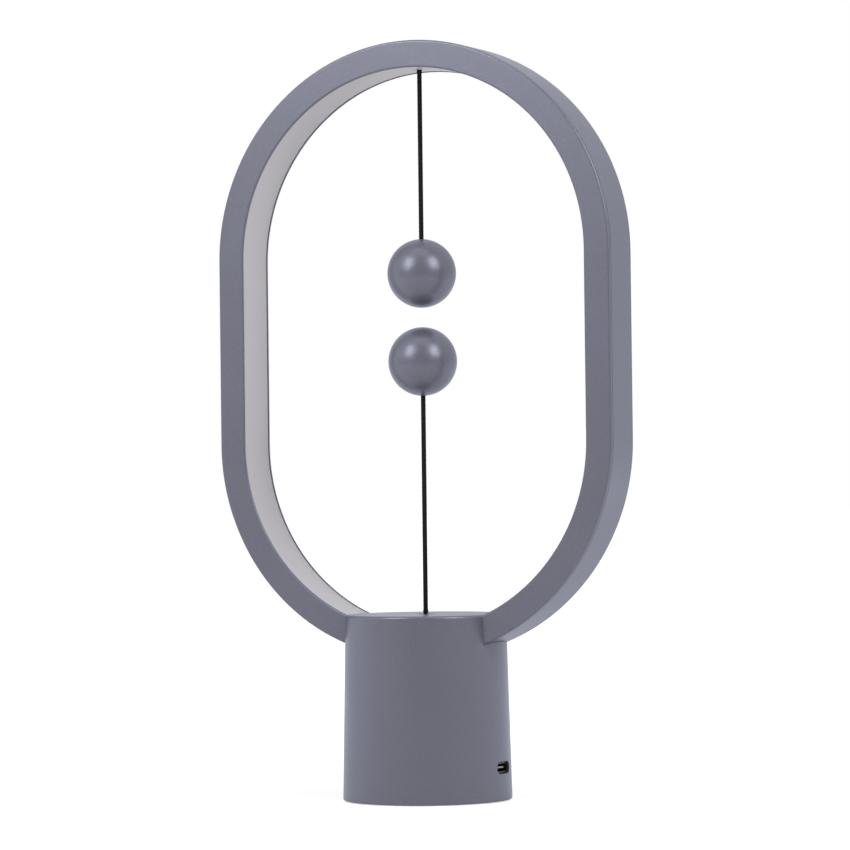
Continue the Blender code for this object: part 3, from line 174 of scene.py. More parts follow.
class RingLampSizes(bpy.types.PropertyGroup):
    """Sizes of the dressed pieces."""

    ring_band: metres("Ring Band", "Thickness of the ring, seen from the front", 0.009)
    ring_end: metres("Ring End", "Distance from the middle to each end of the ring inside the base", 0.011)
    ring_wall: metres("Ring Wall", "Wall thickness of the ring's mouldings", 0.0014)
    ring_lip: metres("Ring Lip", "Thickness of the ring's walls beside the diffuser", 0.0009)
    ledge_height: metres(
        "Ledge Height", "How far the ledges under the diffuser stand in from the walls", 0.0008,
    )
    ledge_thickness: metres("Ledge Thickness", "Thickness of the ledges under the diffuser", 0.0009)
    ledge_gap: metres("Ledge Gap", "Gap between the diffuser and the ledges that it lies on", 0.0001)
    seam_round: metres("Seam Edge Radius", "Radius of the edges at the parting line", 0.00012)
    seam: metres("Seam", "Width of the parting line between the ring's mouldings", 0.00024)
    ring_round: metres("Ring Edge Radius", "Radius of the ring's edges", 0.0007)
    diffuser_recess: metres(
        "Diffuser Recess", "How far the diffuser's edges lie below the ring's inner edges", 0.0003,
    )
    diffuser_thickness: metres("Diffuser Thickness", "Thickness of the diffuser", 0.0011)
    diffuser_crown: metres("Diffuser Crown", "How far the diffuser's middle stands over its edges", 0.0003)
    base_top_radius: metres("Base Top Radius", "Outer radius of the base at its top", 0.0265)
    base_foot_radius: metres("Base Foot Radius", "Outer radius of the base at the table", 0.0279)
    base_wall: metres("Base Wall", "Wall thickness of the base", 0.0024)
    base_top_round: metres("Base Top Edge Radius", "Radius of the base's upper edge", 0.0009)
    base_foot_round: metres("Base Foot Edge Radius", "Radius of the base's lower edge", 0.0006)
    seat_gap: metres("Seat Gap", "Gap between the ring and its seat in the base", 0.00007)
    rim_width: metres("Rim Width", "Width of the base's rim round its lid", 0.0016)
    lid_thickness: metres("Lid Thickness", "Thickness of the base's lid", 0.0019)
    lid_gap: metres("Lid Gap", "Gap between the lid and the ledge that it lies on", 0.0003)
    lid_seam: metres("Lid Seam", "Width of the fine gap round the lid", 0.00004)
    lid_ledge: metres("Lid Ledge Width", "Width of the ledge that the lid lies on", 0.0016)
    lid_ledge_height: metres("Lid Ledge Height", "Height of the ledge that the lid lies on", 0.0015)
    guide_wall: metres("Guide Wall", "Wall thickness of the cord's guide under the lid", 0.0019)
    guide_length: metres("Guide Length", "Length of the cord's guide under the lid", 0.0053)
    mouth_round: metres("Mouth Edge Radius", "Radius of the edges of the cord's mouth", 0.0003)
    cord_mouth: metres("Cord Mouth Radius", "Radius of the flared mouth in the base's top", 0.0034)
    cord_bore: metres("Cord Bore Radius", "Radius of the bore under the flared mouth", 0.0012)
    cord_diameter: metres("Cord Diameter", "Diameter of both braided cords", 0.0015)
    braid_relief: metres("Braid Relief", "Height of the strands on the cords", 0.00005)
    braid_pitch: metres("Braid Pitch", "Length in which a strand crosses to the next one", 0.00075)
    braid_strands: IntProperty(
        name="Braid Strands", description="Strands that turn each way round a cord", default=6, min=2,
    )
    neck_length: metres(
        "Neck Length", "How far each cord's other end reaches past the middle of its bead", 0.0022,
    )
    knot_radius: metres("Knot Radius", "Radius of the knots in the balls", 0.00165)
    knot_length: metres("Knot Length", "Length of the knots in the balls", 0.0023)
    knot_end: metres("Knot End", "Length of cord that sticks out of a knot", 0.0014)
    knot_gap: metres("Knot Gap", "Gap between a cord and its knot's ends", 0.0002)
    cord_start: metres(
        "Cord Start", "Where each cord starts, from the middle of the bead that it bends on", 0.0003,
    )
    ball_wall: metres("Ball Wall", "Wall thickness of the balls", 0.002)
    inlet_margin: metres(
        "Inlet Margin", "Gap between the inlet's metal shell and its hole in the base", 0.00045,
    )
    liner_wall: metres("Liner Wall", "Thickness of the black liner in the inlet's hole", 0.00015)
    tongue_thickness: metres("Tongue Thickness", "Thickness of the tongue in the inlet", 0.0005)
    contact_row: metres(
        "Contact Row", "Width of the row of contacts, from the first's middle to the last's", 0.0052,
    )
    contact_length: metres("Contact Length", "Length of the contacts on the inlet's tongue", 0.0026)
    contact_thickness: metres(
        "Contact Thickness", "Thickness of the contacts on the inlet's tongue", 0.00006,
    )
    contact_inset: metres("Contact Inset", "From the tongue's front edge to its contacts", 0.0004)
    contact_count: IntProperty(
        name="Contacts", description="Contacts on each side of the inlet's tongue", default=5, min=1,
    )


class RingLampFinishes(bpy.types.PropertyGroup):
    """Colours of the finishes, and the grain of the mouldings."""

    moulding: tint("Moulding", "Colour of the ring, the base and the balls", (0.167, 0.168, 0.21))
    moulding_sheen: tint("Moulding Sheen", "Tint of what the mouldings mirror", (0.72, 0.78, 1.0))
    diffuser: tint("Diffuser", "Colour of the diffuser when the lamp is off", (0.62, 0.6, 0.64))
    cord: tint("Cord", "Colour of the braided cords", (0.012, 0.012, 0.013))
    tongue: tint("Inlet Tongue", "Colour of the tongue in the inlet", (0.5, 0.44, 0.42))
    grain_size: metres("Grain Size", "Size of the fine speckle in the mouldings", 0.00032)
    grain_contrast: fraction(
        "Grain Contrast", "How far the speckle lightens and darkens the mouldings", 0.16,
    )


class RingLampStage(bpy.types.PropertyGroup):
    """The camera's place and the strength of the lights."""

    azimuth: degrees("Azimuth", "Camera's turn round the lamp, from the front towards the inlet", 24.95)
    elevation: degrees("Elevation", "Angle of the camera's line of sight, seen from the target", -0.936)
    roll: degrees("Roll", "Camera's turn about its line of sight", -0.68)
    distance: metres("Distance", "From the camera to its target", 1.2906)
    target_height: metres("Target Height", "Height of the camera's target", 0.12358)
    target_shift: metres(
        "Target Shift", "Target's distance from the lamp's axis, to the camera's right", 0.00049,
    )
    lens: number("Focal Length", "Camera's focal length", 165.6, unit="CAMERA")
    key_power: watts("Key Power", "Power of the light on the left", 2.85)
    fill_power: watts("Fill Power", "Power of the light on the right", 2.95)
    top_power: watts("Top Power", "Power of the light overhead", 0.85)
    side_power: watts("Side Power", "Power of the light far on the left", 0.3)
    light_distance: metres("Light Distance", "From the middle of the lamp to each light", 0.8)
    surroundings: fraction("Surroundings", "How brightly the surroundings light the lamp", 0.1)
    camera_side: fraction("Camera Side", "How brightly the camera's side of the room lights the lamp", 0.35)
    floor_glow: fraction("Floor Glow", "How far the floor is lifted towards white beside the lamp", 0.6)


def sizes():
    return bpy.context.scene.ring_lamp_sizes


def finishes():
    return bpy.context.scene.ring_lamp_finishes


def stage():
    return bpy.context.scene.ring_lamp_stage


# Meshes


def add_object(name, data):
    made = bpy.data.objects.new(name, data)
    bpy.context.collection.objects.link(made)
    return made


def add_piece(name, mesh, material):
    piece = add_object(name, mesh)
    piece.data.materials.clear()
    piece.data.materials.append(material)
    return piece


def finished_mesh(name, shape):
    """A mesh from a bmesh, its faces turned outwards, smooth except at its sharp edges."""
    bmesh.ops.recalc_face_normals(shape, faces=shape.faces)
    mesh = bpy.data.meshes.new(name)
    shape.to_mesh(mesh)
    shape.free()
    smooth(mesh)
    return mesh


def add_closed(name, shape, material):
    """A piece from a bmesh of one material."""
    return add_piece(name, finished_mesh(name, shape), material)


def smooth(mesh):
    mesh.shade_smooth()
    mesh.set_sharp_from_angle(angle=SMOOTH_ANGLE)


def softened(corners, guard=GUARD):
    """The outline through corners (x, y, radius), each round one an arc between two guard points.

    The guard points keep the shading of the flat sides flat.
    """
    outline = []
    for index, (x, y, radius) in enumerate(corners):
        corner = Vector((x, y))
        if not radius:
            outline.append((x, y))
            continue
        back = (Vector(corners[index - 1][:2]) - corner).normalized()
        ahead = (Vector(corners[(index + 1) % len(corners)][:2]) - corner).normalized()
        half = back.angle(ahead) / 2
        reach = radius / math.tan(half)
        centre = corner + (back + ahead).normalized() * radius / math.sin(half)
        start = corner + back * reach - centre
        end = corner + ahead * reach - centre
        turn = start.angle(end)
        outline.append(tuple(corner + back * (reach + guard)))
        for share in spread(0.0, 1.0, ROUND_STEPS):
            spoke = start * math.sin((1 - share) * turn) + end * math.sin(share * turn)
            outline.append(tuple(centre + spoke / math.sin(turn)))
        outline.append(tuple(corner + ahead * (reach + guard)))
    return outline


def spread(start, end, steps):
    """Evenly spaced numbers from a start to an end."""
    return [start + (end - start) * step / steps for step in range(steps + 1)]


def arc(radius, start, end, steps, centre=(0.0, 0.0)):
    x, y = centre
    angles = spread(start, end, steps)
    return [(x + radius * math.cos(angle), y + radius * math.sin(angle)) for angle in angles]


def turned(outline, sides):
    """A solid of revolution about the vertical axis, from a closed outline of (radius, z)."""
    shape = bmesh.new()
    rings = []
    for radius, z in outline:
        ring = []
        for side in range(sides if radius else 1):
            angle = 2 * math.pi * side / sides
            ring.append(shape.verts.new((radius * math.cos(angle), radius * math.sin(angle), z)))
        rings.append(ring)
    for index, ring in enumerate(rings):
        below = rings[index - 1]
        if len(below) + len(ring) == 2:
            continue
        for side in range(sides):
            after = (side + 1) % sides
            corners = [below[side % len(below)], below[after % len(below)]]
            corners += [ring[after % len(ring)], ring[side % len(ring)]]
            shape.faces.new(list(dict.fromkeys(corners)))
    return shape


def bridge(shape, before, after):
    """Four-sided faces between two loops of as many points."""
    for index in range(len(before)):
        shape.faces.new([before[index - 1], before[index], after[index], after[index - 1]])


def prism_along_x(outline, start, end):
    """A prism with an outline of (y, z), from one X to another."""
    shape = bmesh.new()
    near = [shape.verts.new((start, y, z)) for y, z in outline]
    far = [shape.verts.new((end, y, z)) for y, z in outline]
    shape.faces.new(near)
    shape.faces.new(far)
    bridge(shape, near, far)
    return shape


def inlet_hole_outline(inset=0.0):
    """Outline (y, z) of the inlet's hole in the base, its ends round, drawn in by an inset."""
    margin = sizes().inlet_margin - inset
    middle = (INLET_HIGH[2] + INLET_LOW[2]) / 2
    radius = (INLET_HIGH[2] - INLET_LOW[2] + 2 * margin) / 2
    reach = (INLET_HIGH[1] - INLET_LOW[1] + 2 * margin) / 2 - radius
    right = arc(radius, -QUARTER, QUARTER, HOLE_END_STEPS, (reach, middle))
    return right + arc(radius, QUARTER, 3 * QUARTER, HOLE_END_STEPS, (-reach, middle))


def cut(piece, *shapes):
    """Takes shapes out of a piece for good."""
    for shape in shapes:
        tool = add_object("tool", finished_mesh("tool", shape))
        change = piece.modifiers.new("cut", "BOOLEAN")
        change.object = tool
        change.operation = "DIFFERENCE"
        done = plain_mesh(piece)
        piece.modifiers.clear()
        piece.data = done
        bpy.data.objects.remove(tool)
    smooth(piece.data)


def plain_mesh(piece):
    """What the piece looks like with its modifiers, as a mesh of its own."""
    graph = bpy.context.evaluated_depsgraph_get()
    graph.update()
    return bpy.data.meshes.new_from_object(piece.evaluated_get(graph), depsgraph=graph)


# Ring


def ring_path(end_offset, margin=0.0):
    """Points (x, z) on the ring's outer side from its left end over the top to its right end."""
    radius = FACE_HIGH[0]
    middle = radius - sizes().ring_band / 2
    start = math.asin(end_offset / middle) - margin / middle
    steps = math.ceil((QUARTER - start) / ARC_STEP)
    left = arc(radius, -QUARTER - start, -math.pi, steps, (0.0, ring_low_centre()))
    high_centre = FACE_HIGH[2] - radius
    over = arc(radius, math.pi, 0.0, math.ceil(math.pi / ARC_STEP), (0.0, high_centre))
    right = [(-x, z) for x, z in reversed(left)]
    return left + over + right


def ring_low_centre():
    """Height of the centre of the ring's lower round end.

    The solid's ends give it: their lowest point is the outer corner of the end face.
    """
    radius = FACE_HIGH[0]
    middle = radius - sizes().ring_band / 2
    angle = math.asin(sizes().ring_end / middle)
    return FACE_LOW[2] + radius * math.cos(angle)


def curve_object(name, points, closed=False):
    """A curve of straight stretches through points."""
    curve = bpy.data.curves.new(name, "CURVE")
    curve.dimensions = "3D"
    spline = curve.splines.new("POLY")
    spline.points.add(len(points) - 1)
    for point, place in zip(spline.points, points):
        point.co = (*place, 1.0)
    spline.use_cyclic_u = closed
    return add_object(name, curve)


# Node trees


def fill(node, values):
    """Sets a node's inputs by their names."""
    for name, value in values.items():
        node.inputs[name].default_value = value


def join(tree, *links):
    """Links nodes. Each link is (node, output, node, input)."""
    for source, output, target, entry in links:
        tree.links.new(source.outputs[output], target.inputs[entry])


def feed(tree, value, socket):
    """Gives an input socket a number or another node's output socket."""
    if isinstance(value, (int, float)):
        socket.default_value = value
    else:
        tree.links.new(value, socket)


def math_node(tree, operation, first, second):
    """A Math node. Each of its two inputs is a number or another node's socket."""
    node = tree.nodes.new("ShaderNodeMath")
    node.operation = operation
    feed(tree, first, node.inputs[0])
    feed(tree, second, node.inputs[1])
    return node.outputs[0]


def vector_node(tree, operation):
    node = tree.nodes.new("ShaderNodeVectorMath")
    node.operation = operation
    return node


def node_tree(name, kind, inputs, outputs):
    """An empty node tree with named inputs and outputs, and its two end nodes."""
    tree = bpy.data.node_groups.new(name, kind)
    for way, sockets in (("INPUT", inputs), ("OUTPUT", outputs)):
        for label, value in sockets.items():
            tree.interface.new_socket(label, in_out=way, socket_type=f"NodeSocket{value}")
    return tree, tree.nodes.new("NodeGroupInput"), tree.nodes.new("NodeGroupOutput")


def geometry_tree(name, inputs):
    inputs = {"Geometry": "Geometry", **inputs, "Finish": "Material"}
    return node_tree(name, "GeometryNodeTree", inputs, {"Geometry": "Geometry"})


def close_tree(tree, last, output, start, end):
    """Ends a Geometry Nodes tree with Realize Instances and Set Material."""
    realize = tree.nodes.new("GeometryNodeRealizeInstances")
    paint = tree.nodes.new("GeometryNodeSetMaterial")
    join(
        tree,
        (last, output, realize, "Geometry"),
        (realize, "Geometry", paint, "Geometry"),
        (start, "Finish", paint, "Material"),
        (paint, "Geometry", end, "Geometry"),
    )


def section_sweep_tree():
    """Draws a section along a flat upright path and closes both ends."""
    name = "Section along the ring"
    if name in bpy.data.node_groups:
        return bpy.data.node_groups[name]
    tree, start, end = geometry_tree(name, {"Section": "Object"})
    section = tree.nodes.new("GeometryNodeObjectInfo")
    normal = tree.nodes.new("GeometryNodeSetCurveNormal")
    normal.mode = "FREE"
    fill(normal, {"Normal": (0.0, 1.0, 0.0)})
    sweep = tree.nodes.new("GeometryNodeCurveToMesh")
    fill(sweep, {"Fill Caps": True})
    join(
        tree,
        (start, "Geometry", normal, "Curve"),
        (start, "Section", section, "Object"),
        (normal, "Curve", sweep, "Curve"),
        (section, "Geometry", sweep, "Profile Curve"),
    )
    close_tree(tree, sweep, "Mesh", start, end)
    return tree


def set_inputs(modifier, values):
    """Sets a Geometry Nodes modifier's inputs by their names in the tree."""
    for item in modifier.node_group.interface.items_tree:
        if item.item_type == "SOCKET" and item.in_out == "INPUT" and item.name in values:
            modifier[item.identifier] = values[item.name]


def swept_mesh(name, section, material, end_offset=None, margin=0.0):
    """A closed mesh drawn along the ring from a section of (depth into the band, y)."""
    offset = sizes().ring_end if end_offset is None else end_offset
    points = [(x, 0.0, z) for x, z in ring_path(offset, margin)]
    path = curve_object(f"{name}_path", points)
    profile = curve_object(f"{name}_section", [(y, -depth, 0.0) for depth, y in section], True)
    modifier = path.modifiers.new("sweep", "NODES")
    modifier.node_group = section_sweep_tree()
    set_inputs(modifier, {"Section": profile, "Finish": material})
    mesh = plain_mesh(path)
    for guide in (path, profile):
        bpy.data.objects.remove(guide)
    mesh.name = name
    smooth(mesh)
    return mesh


def add_band(name, section, material, end_offset=None):
    """A piece drawn along the ring."""
    return add_piece(name, swept_mesh(name, section, material, end_offset), material)


def ring_seat_shape():
    """The whole band with the seat gap round it, as a bmesh that cuts the base."""
    gap = sizes().seat_gap
    inside = sizes().ring_band + gap
    front, back = FACE_LOW[1] - gap, BACK_EDGE + gap
    section = [(-gap, front), (inside, front), (inside, back), (-gap, back)]
    mesh = swept_mesh("ring_seat", section, moulding_finish(), margin=gap)
    shape = bmesh.new()
    shape.from_mesh(mesh)
    bpy.data.meshes.remove(mesh)
    return shape


# Finishes


def speckle_group():
    """Fine speckle, soft cloudy shade and a height for the bump, from Object coordinates."""
    name = "Moulding speckle"
    if name in bpy.data.node_groups:
        return bpy.data.node_groups[name]
    group, start, end = node_tree(
        name,
        "ShaderNodeTree",
        {"Colour": "Color", "Grains per Metre": "Float", "Contrast": "Float", "Roughness": "Float"},
        {"Colour": "Color", "Roughness": "Float", "Height": "Float"},
    )
    where = group.nodes.new("ShaderNodeTexCoord")
    fine = group.nodes.new("ShaderNodeTexNoise")
    fill(fine, {"Detail": GRAIN_DETAIL, "Roughness": GRAIN_ROUGHNESS})
    cloudy = group.nodes.new("ShaderNodeTexNoise")
    fill(cloudy, {"Scale": CLOUDS_PER_METRE, "Detail": CLOUD_DETAIL})
    grains = math_node(group, "SUBTRACT", fine.outputs["Fac"], 0.5)
    clouds = math_node(group, "SUBTRACT", cloudy.outputs["Fac"], 0.5)
    swing = math_node(group, "MULTIPLY", grains, GRAIN_SWING)
    swing = math_node(group, "ADD", swing, math_node(group, "MULTIPLY", clouds, CLOUD_SWING))
    swing = math_node(group, "MULTIPLY", swing, start.outputs["Contrast"])
    scale = vector_node(group, "SCALE")
    group.links.new(math_node(group, "ADD", swing, 1.0), scale.inputs["Scale"])
    unevenness = math_node(group, "MULTIPLY", clouds, CLOUD_ROUGHNESS)
    rough = math_node(group, "ADD", start.outputs["Roughness"], unevenness)
    group.links.new(rough, end.inputs["Roughness"])
    join(
        group,
        (where, "Object", fine, "Vector"),
        (where, "Object", cloudy, "Vector"),
        (start, "Grains per Metre", fine, "Scale"),
        (start, "Colour", scale, 0),
        (scale, "Vector", end, "Colour"),
        (fine, "Fac", end, "Height"),
    )
    return group


def speckled(
    name, colour, roughness, contrast, grain, bump, metallic=0.0, coat=0.0, specular=0.5,
    sheen=(1.0, 1.0, 1.0),
):
    """A finish of one colour with fine speckle, made once. The sheen colours what it mirrors."""
    if name in bpy.data.materials:
        return bpy.data.materials[name]
    made = bpy.data.materials.new(name)
    made.use_nodes = True
    tree = made.node_tree
    shader = tree.nodes["Principled BSDF"]
    fill(shader, {
        "Metallic": metallic,
        "Coat Weight": coat,
        "Specular IOR Level": specular,
        "Specular Tint": (*sheen, 1.0),
    })
    speckle = tree.nodes.new("ShaderNodeGroup")
    speckle.node_tree = speckle_group()
    fill(speckle, {
        "Colour": (*colour, 1.0),
        "Grains per Metre": 1 / grain,
        "Contrast": contrast,
        "Roughness": roughness,
    })
    relief = tree.nodes.new("ShaderNodeBump")
    fill(relief, {"Strength": 1.0, "Distance": bump})
    join(
        tree,
        (speckle, "Height", relief, "Height"),
        (speckle, "Colour", shader, "Base Color"),
        (speckle, "Roughness", shader, "Roughness"),
        (relief, "Normal", shader, "Normal"),
    )
    return made


def moulding_finish():
    look = finishes()
    return speckled(
        "satin_moulding", look.moulding, roughness=0.36, contrast=look.grain_contrast,
        grain=look.grain_size, bump=0.000012, metallic=0.4, sheen=look.moulding_sheen,
    )


def diffuser_finish():
    return speckled(
        "frosted_diffuser", finishes().diffuser, roughness=0.5, contrast=0.02, grain=0.0006, bump=0.000006,
    )


def cord_finish():
    return speckled(
        "braided_cord", finishes().cord, roughness=0.9, contrast=0.35, grain=0.00012, bump=0.00002,
        specular=0.15,
    )


def rubber_finish():
    return speckled(
        "foot_rubber", (0.03, 0.03, 0.031), roughness=0.85, contrast=0.15, grain=0.0004, bump=0.00002,
    )


def tongue_finish():
    return speckled(
        "tongue_plastic", finishes().tongue, roughness=0.55, contrast=0.05, grain=0.0003, bump=0.000004,
    )


def contact_finish():
    return speckled(
        "gilt_contact", (0.7, 0.48, 0.2), roughness=0.3, contrast=0.05, grain=0.0002, bump=0.000002,
        metallic=1.0,
    )


def inlet_finish_with_painted_shade():
    # The port's metal shell, its colour darkened to near black: painted shade for the inside of the port.
    return speckled(
        "inlet_steel", (0.1, 0.07, 0.035), roughness=0.32, contrast=0.1, grain=0.0003, bump=0.000003,
        metallic=1.0,
    )


def steel_finish():
    return speckled(
        "plain_steel", (0.52, 0.52, 0.54), roughness=0.34, contrast=0.06, grain=0.0005, bump=0.000004,
        metallic=1.0,
    )


def magnet_finish():
    return speckled(
        "magnet_plating", (0.6, 0.6, 0.62), roughness=0.2, contrast=0.03, grain=0.0006, bump=0.000002,
        metallic=1.0,
    )


def board_finish():
    return speckled(
        "board_laminate", (0.02, 0.12, 0.06), roughness=0.4, contrast=0.12, grain=0.0005, bump=0.000004,
        coat=0.3,
    )


def strip_finish():
    return speckled(
        "strip_film", (0.78, 0.78, 0.75), roughness=0.5, contrast=0.03, grain=0.0005, bump=0.000003,
    )


def insulator_finish():
    return speckled(
        "switch_plastic", (0.045, 0.045, 0.047), roughness=0.5, contrast=0.1, grain=0.0004, bump=0.000006,
    )


def dress(material, *nodes):
    """Gives CAD nodes their finish."""
    for node in nodes:
        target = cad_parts[node]
        if not target.material_slots:
            target.data.materials.append(material)
        for slot in target.material_slots:
            slot.material = material


# Pieces


class RINGLAMP_OT_stage(bpy.types.Operator):
    """Sets up the camera, the floor, the white surroundings and the lights"""

    bl_idname = "ringlamp.stage"
    bl_label = "Stage"

    def execute(self, context):
        self.add_camera(context)
        self.add_floor(context)
        self.add_surroundings(context)
        for name, (azimuth, elevation, width, height) in LIGHTS.items():
            power = getattr(stage(), f"{name}_power")
            away = direction(math.radians(azimuth), math.radians(elevation))
            self.add_light(f"{name}_light", power, away, width, height)
        context.scene.view_settings.view_transform = "Standard"
        return {"FINISHED"}

    def add_camera(self, context):
        view = stage()
        right = Vector((math.cos(view.azimuth), math.sin(view.azimuth), 0.0))
        back = direction(view.azimuth, view.elevation)
        up = back.cross(right)
        target = Vector((0.0, 0.0, view.target_height)) + right * view.target_shift
        across = right * math.cos(view.roll) + up * math.sin(view.roll)
        upward = up * math.cos(view.roll) - right * math.sin(view.roll)
        lens = bpy.data.cameras.new("camera")
        lens.lens = view.lens
        lens.sensor_width = SENSOR_WIDTH
        lens.clip_end = FARTHEST_SEEN
        camera = add_object("camera", lens)
        turn = Matrix((across, upward, back)).transposed().to_4x4()
        camera.matrix_world = Matrix.Translation(target + back * view.distance) @ turn
        context.scene.camera = camera

    def add_floor(self, context):
        """A large pale disc that keeps the lamp's shadow and fades to the white surroundings."""
        made = bpy.data.materials.new("floor_paper")
        made.use_nodes = True
        tree = made.node_tree
        shader = tree.nodes["Principled BSDF"]
        fill(shader, {
            "Base Color": PAPER,
            "Roughness": PAPER_ROUGHNESS,
            "Specular IOR Level": 0.0,
            "Emission Color": WHITE,
        })
        where = tree.nodes.new("ShaderNodeTexCoord")
        away = vector_node(tree, "LENGTH")
        fade = tree.nodes.new("ShaderNodeMapRange")
        near, far = FLOOR_FADE
        fill(fade, {"From Min": near, "From Max": far, "To Min": stage().floor_glow})
        join(tree, (where, "Object", away, 0), (away, "Value", fade, "Value"))
        seen, glossy = ray_sockets(tree)
        side = camera_side_node(tree, where.outputs["Object"], 1.0)
        shown = math_node(tree, "MAXIMUM", seen, math_node(tree, "MULTIPLY", glossy, side))
        glow = math_node(tree, "MULTIPLY", shown, fade.outputs["Result"])
        tree.links.new(glow, shader.inputs["Emission Strength"])
        floor_mesh = bpy.data.meshes.new("floor")
        shape = bmesh.new()
        bmesh.ops.create_circle(shape, cap_ends=True, segments=FLOOR_SIDES, radius=FLOOR_RADIUS)
        shape.to_mesh(floor_mesh)
        shape.free()
        floor = add_piece("floor", floor_mesh, made)
        floor.location.z = CAD_BOX[0][2]

    def add_surroundings(self, context):
        """A white world, full where it is seen, softer where it gives light, softest at the camera."""
        world = bpy.data.worlds.new("surroundings")
        world.use_nodes = True
        tree = world.node_tree
        background = tree.nodes["Background"]
        fill(background, {"Color": WHITE})
        where = tree.nodes.new("ShaderNodeTexCoord")
        seen, glossy = ray_sockets(tree)
        behind = math_node(tree, "MAXIMUM", glossy, stage().surroundings)
        side = camera_side_node(tree, where.outputs["Generated"], behind)
        strength = math_node(tree, "MAXIMUM", seen, side)
        tree.links.new(strength, background.inputs["Strength"])
        context.scene.world = world

    def add_light(self, name, power, away, width, height):
        """A flat light that faces the lamp from a direction."""
        middle = Vector((0.0, 0.0, CAD_BOX[1][2] / 2))
        data = bpy.data.lights.new(name, "AREA")
        data.shape = "RECTANGLE"
        data.size = width
        data.size_y = height
        data.energy = power
        light = add_object(name, data)
        light.location = middle + away * stage().light_distance
        light.rotation_euler = away.to_track_quat("Z", "Y").to_euler()


def direction(azimuth, elevation):
    """A unit vector away from the lamp. The azimuth is counted from the front, to the right."""
    flat = math.cos(elevation)
    return Vector((math.sin(azimuth) * flat, -math.cos(azimuth) * flat, math.sin(elevation)))


def ray_sockets(tree):
    """One where the surface is seen directly or through glass, and one where it is mirrored."""
    path = tree.nodes.new("ShaderNodeLightPath")
    camera, transmitted = path.outputs["Is Camera Ray"], path.outputs["Is Transmission Ray"]
    return math_node(tree, "MAXIMUM", camera, transmitted), path.outputs["Is Glossy Ray"]


def camera_side_group():
    """A value that changes with the direction, from one behind the lamp to one at the camera's side."""
    name = "Camera side"
    if name in bpy.data.node_groups:
        return bpy.data.node_groups[name]
    inputs = {"Direction": "Vector", "Behind": "Float", "At the Camera": "Float"}
    group, start, end = node_tree(name, "ShaderNodeTree", inputs, {"Value": "Float"})
    unit = vector_node(group, "NORMALIZE")
    facing = vector_node(group, "DOT_PRODUCT")
    facing.inputs[1].default_value = direction(stage().azimuth, 0.0)
    change = group.nodes.new("ShaderNodeMapRange")
    fill(change, {"From Min": CAMERA_SIDE_SHARES[0], "From Max": CAMERA_SIDE_SHARES[1]})
    join(
        group,
        (start, "Direction", unit, 0),
        (unit, "Vector", facing, 0),
        (facing, "Value", change, "Value"),
        (start, "Behind", change, "To Min"),
        (start, "At the Camera", change, "To Max"),
        (change, "Result", end, "Value"),
    )
    return group


def camera_side_node(tree, towards, behind):
    """The strength of the surroundings or the floor's glow in a direction."""
    node = tree.nodes.new("ShaderNodeGroup")
    node.node_tree = camera_side_group()
    tree.links.new(towards, node.inputs["Direction"])
    feed(tree, behind, node.inputs["Behind"])
    fill(node, {"At the Camera": stage().camera_side})
    return node.outputs["Value"]


class RINGLAMP_OT_cords(bpy.types.Operator):
    """Braids both cords, their necks at the ring and the base, and the beads that they bend on"""

    bl_idname = "ringlamp.cords"
    bl_label = "Cords"

    def execute(self, context):
        finish = cord_finish()
        size = sizes()
        radius = size.cord_diameter / 2
        for prefix, way, holder in (("upper", -1, "lamp"), ("lower", 1, "pull")):
            low, high = BEAD_BOXES[prefix]
            end = CORD_ENDS[prefix]
            middle = (high[2] + low[2]) / 2
            start = middle + way * size.cord_start
            braid = add_closed(f"{prefix}_braid", braided(start, end, radius, middle), finish)
            knot = add_closed(f"{prefix}_inner_knot", self.knot_shape(end, way), finish)
            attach(braid, f"{prefix}_pendulum")
            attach(knot, f"{prefix}_pendulum")
            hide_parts(f"{prefix}_cord")
            # The neck stays with what the bead turns on.
            near, far = middle - way * size.cord_start, middle - way * size.neck_length
            neck = add_closed(f"{prefix}_neck", braided(near, far, radius, middle), finish)
            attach(neck, holder)
            outline = arc(middle - low[2], -QUARTER, QUARTER, BEAD_STEPS, (0.0, middle))[1:-1]
            outline = [(0.0, low[2])] + outline + [(0.0, high[2])]
            bead = add_closed(f"{prefix}_bend", turned(outline, BEAD_SIDES), finish)
            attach(bead, f"{prefix}_bend")
            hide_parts(f"{prefix}_cord_bead")
        dress(finish, "upper_cord_anchor", "lower_cord_tail")
        return {"FINISHED"}

    def knot_shape(self, end, way):
        """The swelling of the knot round the cord's inner end, a little proud of the cord."""
        size = sizes()
        waist = size.cord_diameter / 2 + size.knot_gap
        outline = []
        for along_share, radius_share in KNOT_SHARES:
            radius = waist + (size.knot_radius - waist) * radius_share
            along = size.knot_end + size.knot_length * along_share
            outline.append((radius, end - way * along))
        return turned(outline, BEAD_SIDES)


def braided(start, end, radius, pivot):
    """A closed tube along the vertical axis whose surface has the relief of crossing strands.

    Its end near the pivot is a cone, so that two tubes can bend there and not meet.
    """
    size = sizes()
    count = math.ceil(abs(end - start) / CORD_RING_STEP)
    shape = bmesh.new()
    rings = []
    for z in spread(start, end, count):
        ring = []
        for side in range(CORD_SIDES):
            share = side / CORD_SIDES
            along = (z - start) / size.braid_pitch
            one_way = size.braid_strands * share + along / 2
            other_way = size.braid_strands * share - along / 2
            on_top = (math.floor(one_way) + math.floor(other_way)) % 2 == 0
            place = one_way if on_top else other_way
            lift = abs(math.sin(math.pi * place)) ** STRAND_ROUNDNESS
            reach = radius + size.braid_relief * (lift - STRAND_SINK)
            reach = min(reach, abs(z - pivot) * BEND_SLOPE)
            angle = 2 * math.pi * share
            ring.append(shape.verts.new((reach * math.cos(angle), reach * math.sin(angle), z)))
        rings.append(ring)
    for before, after in zip(rings, rings[1:]):
        bridge(shape, before, after)
    shape.faces.new(rings[0])
    shape.faces.new(rings[-1])
    return shape


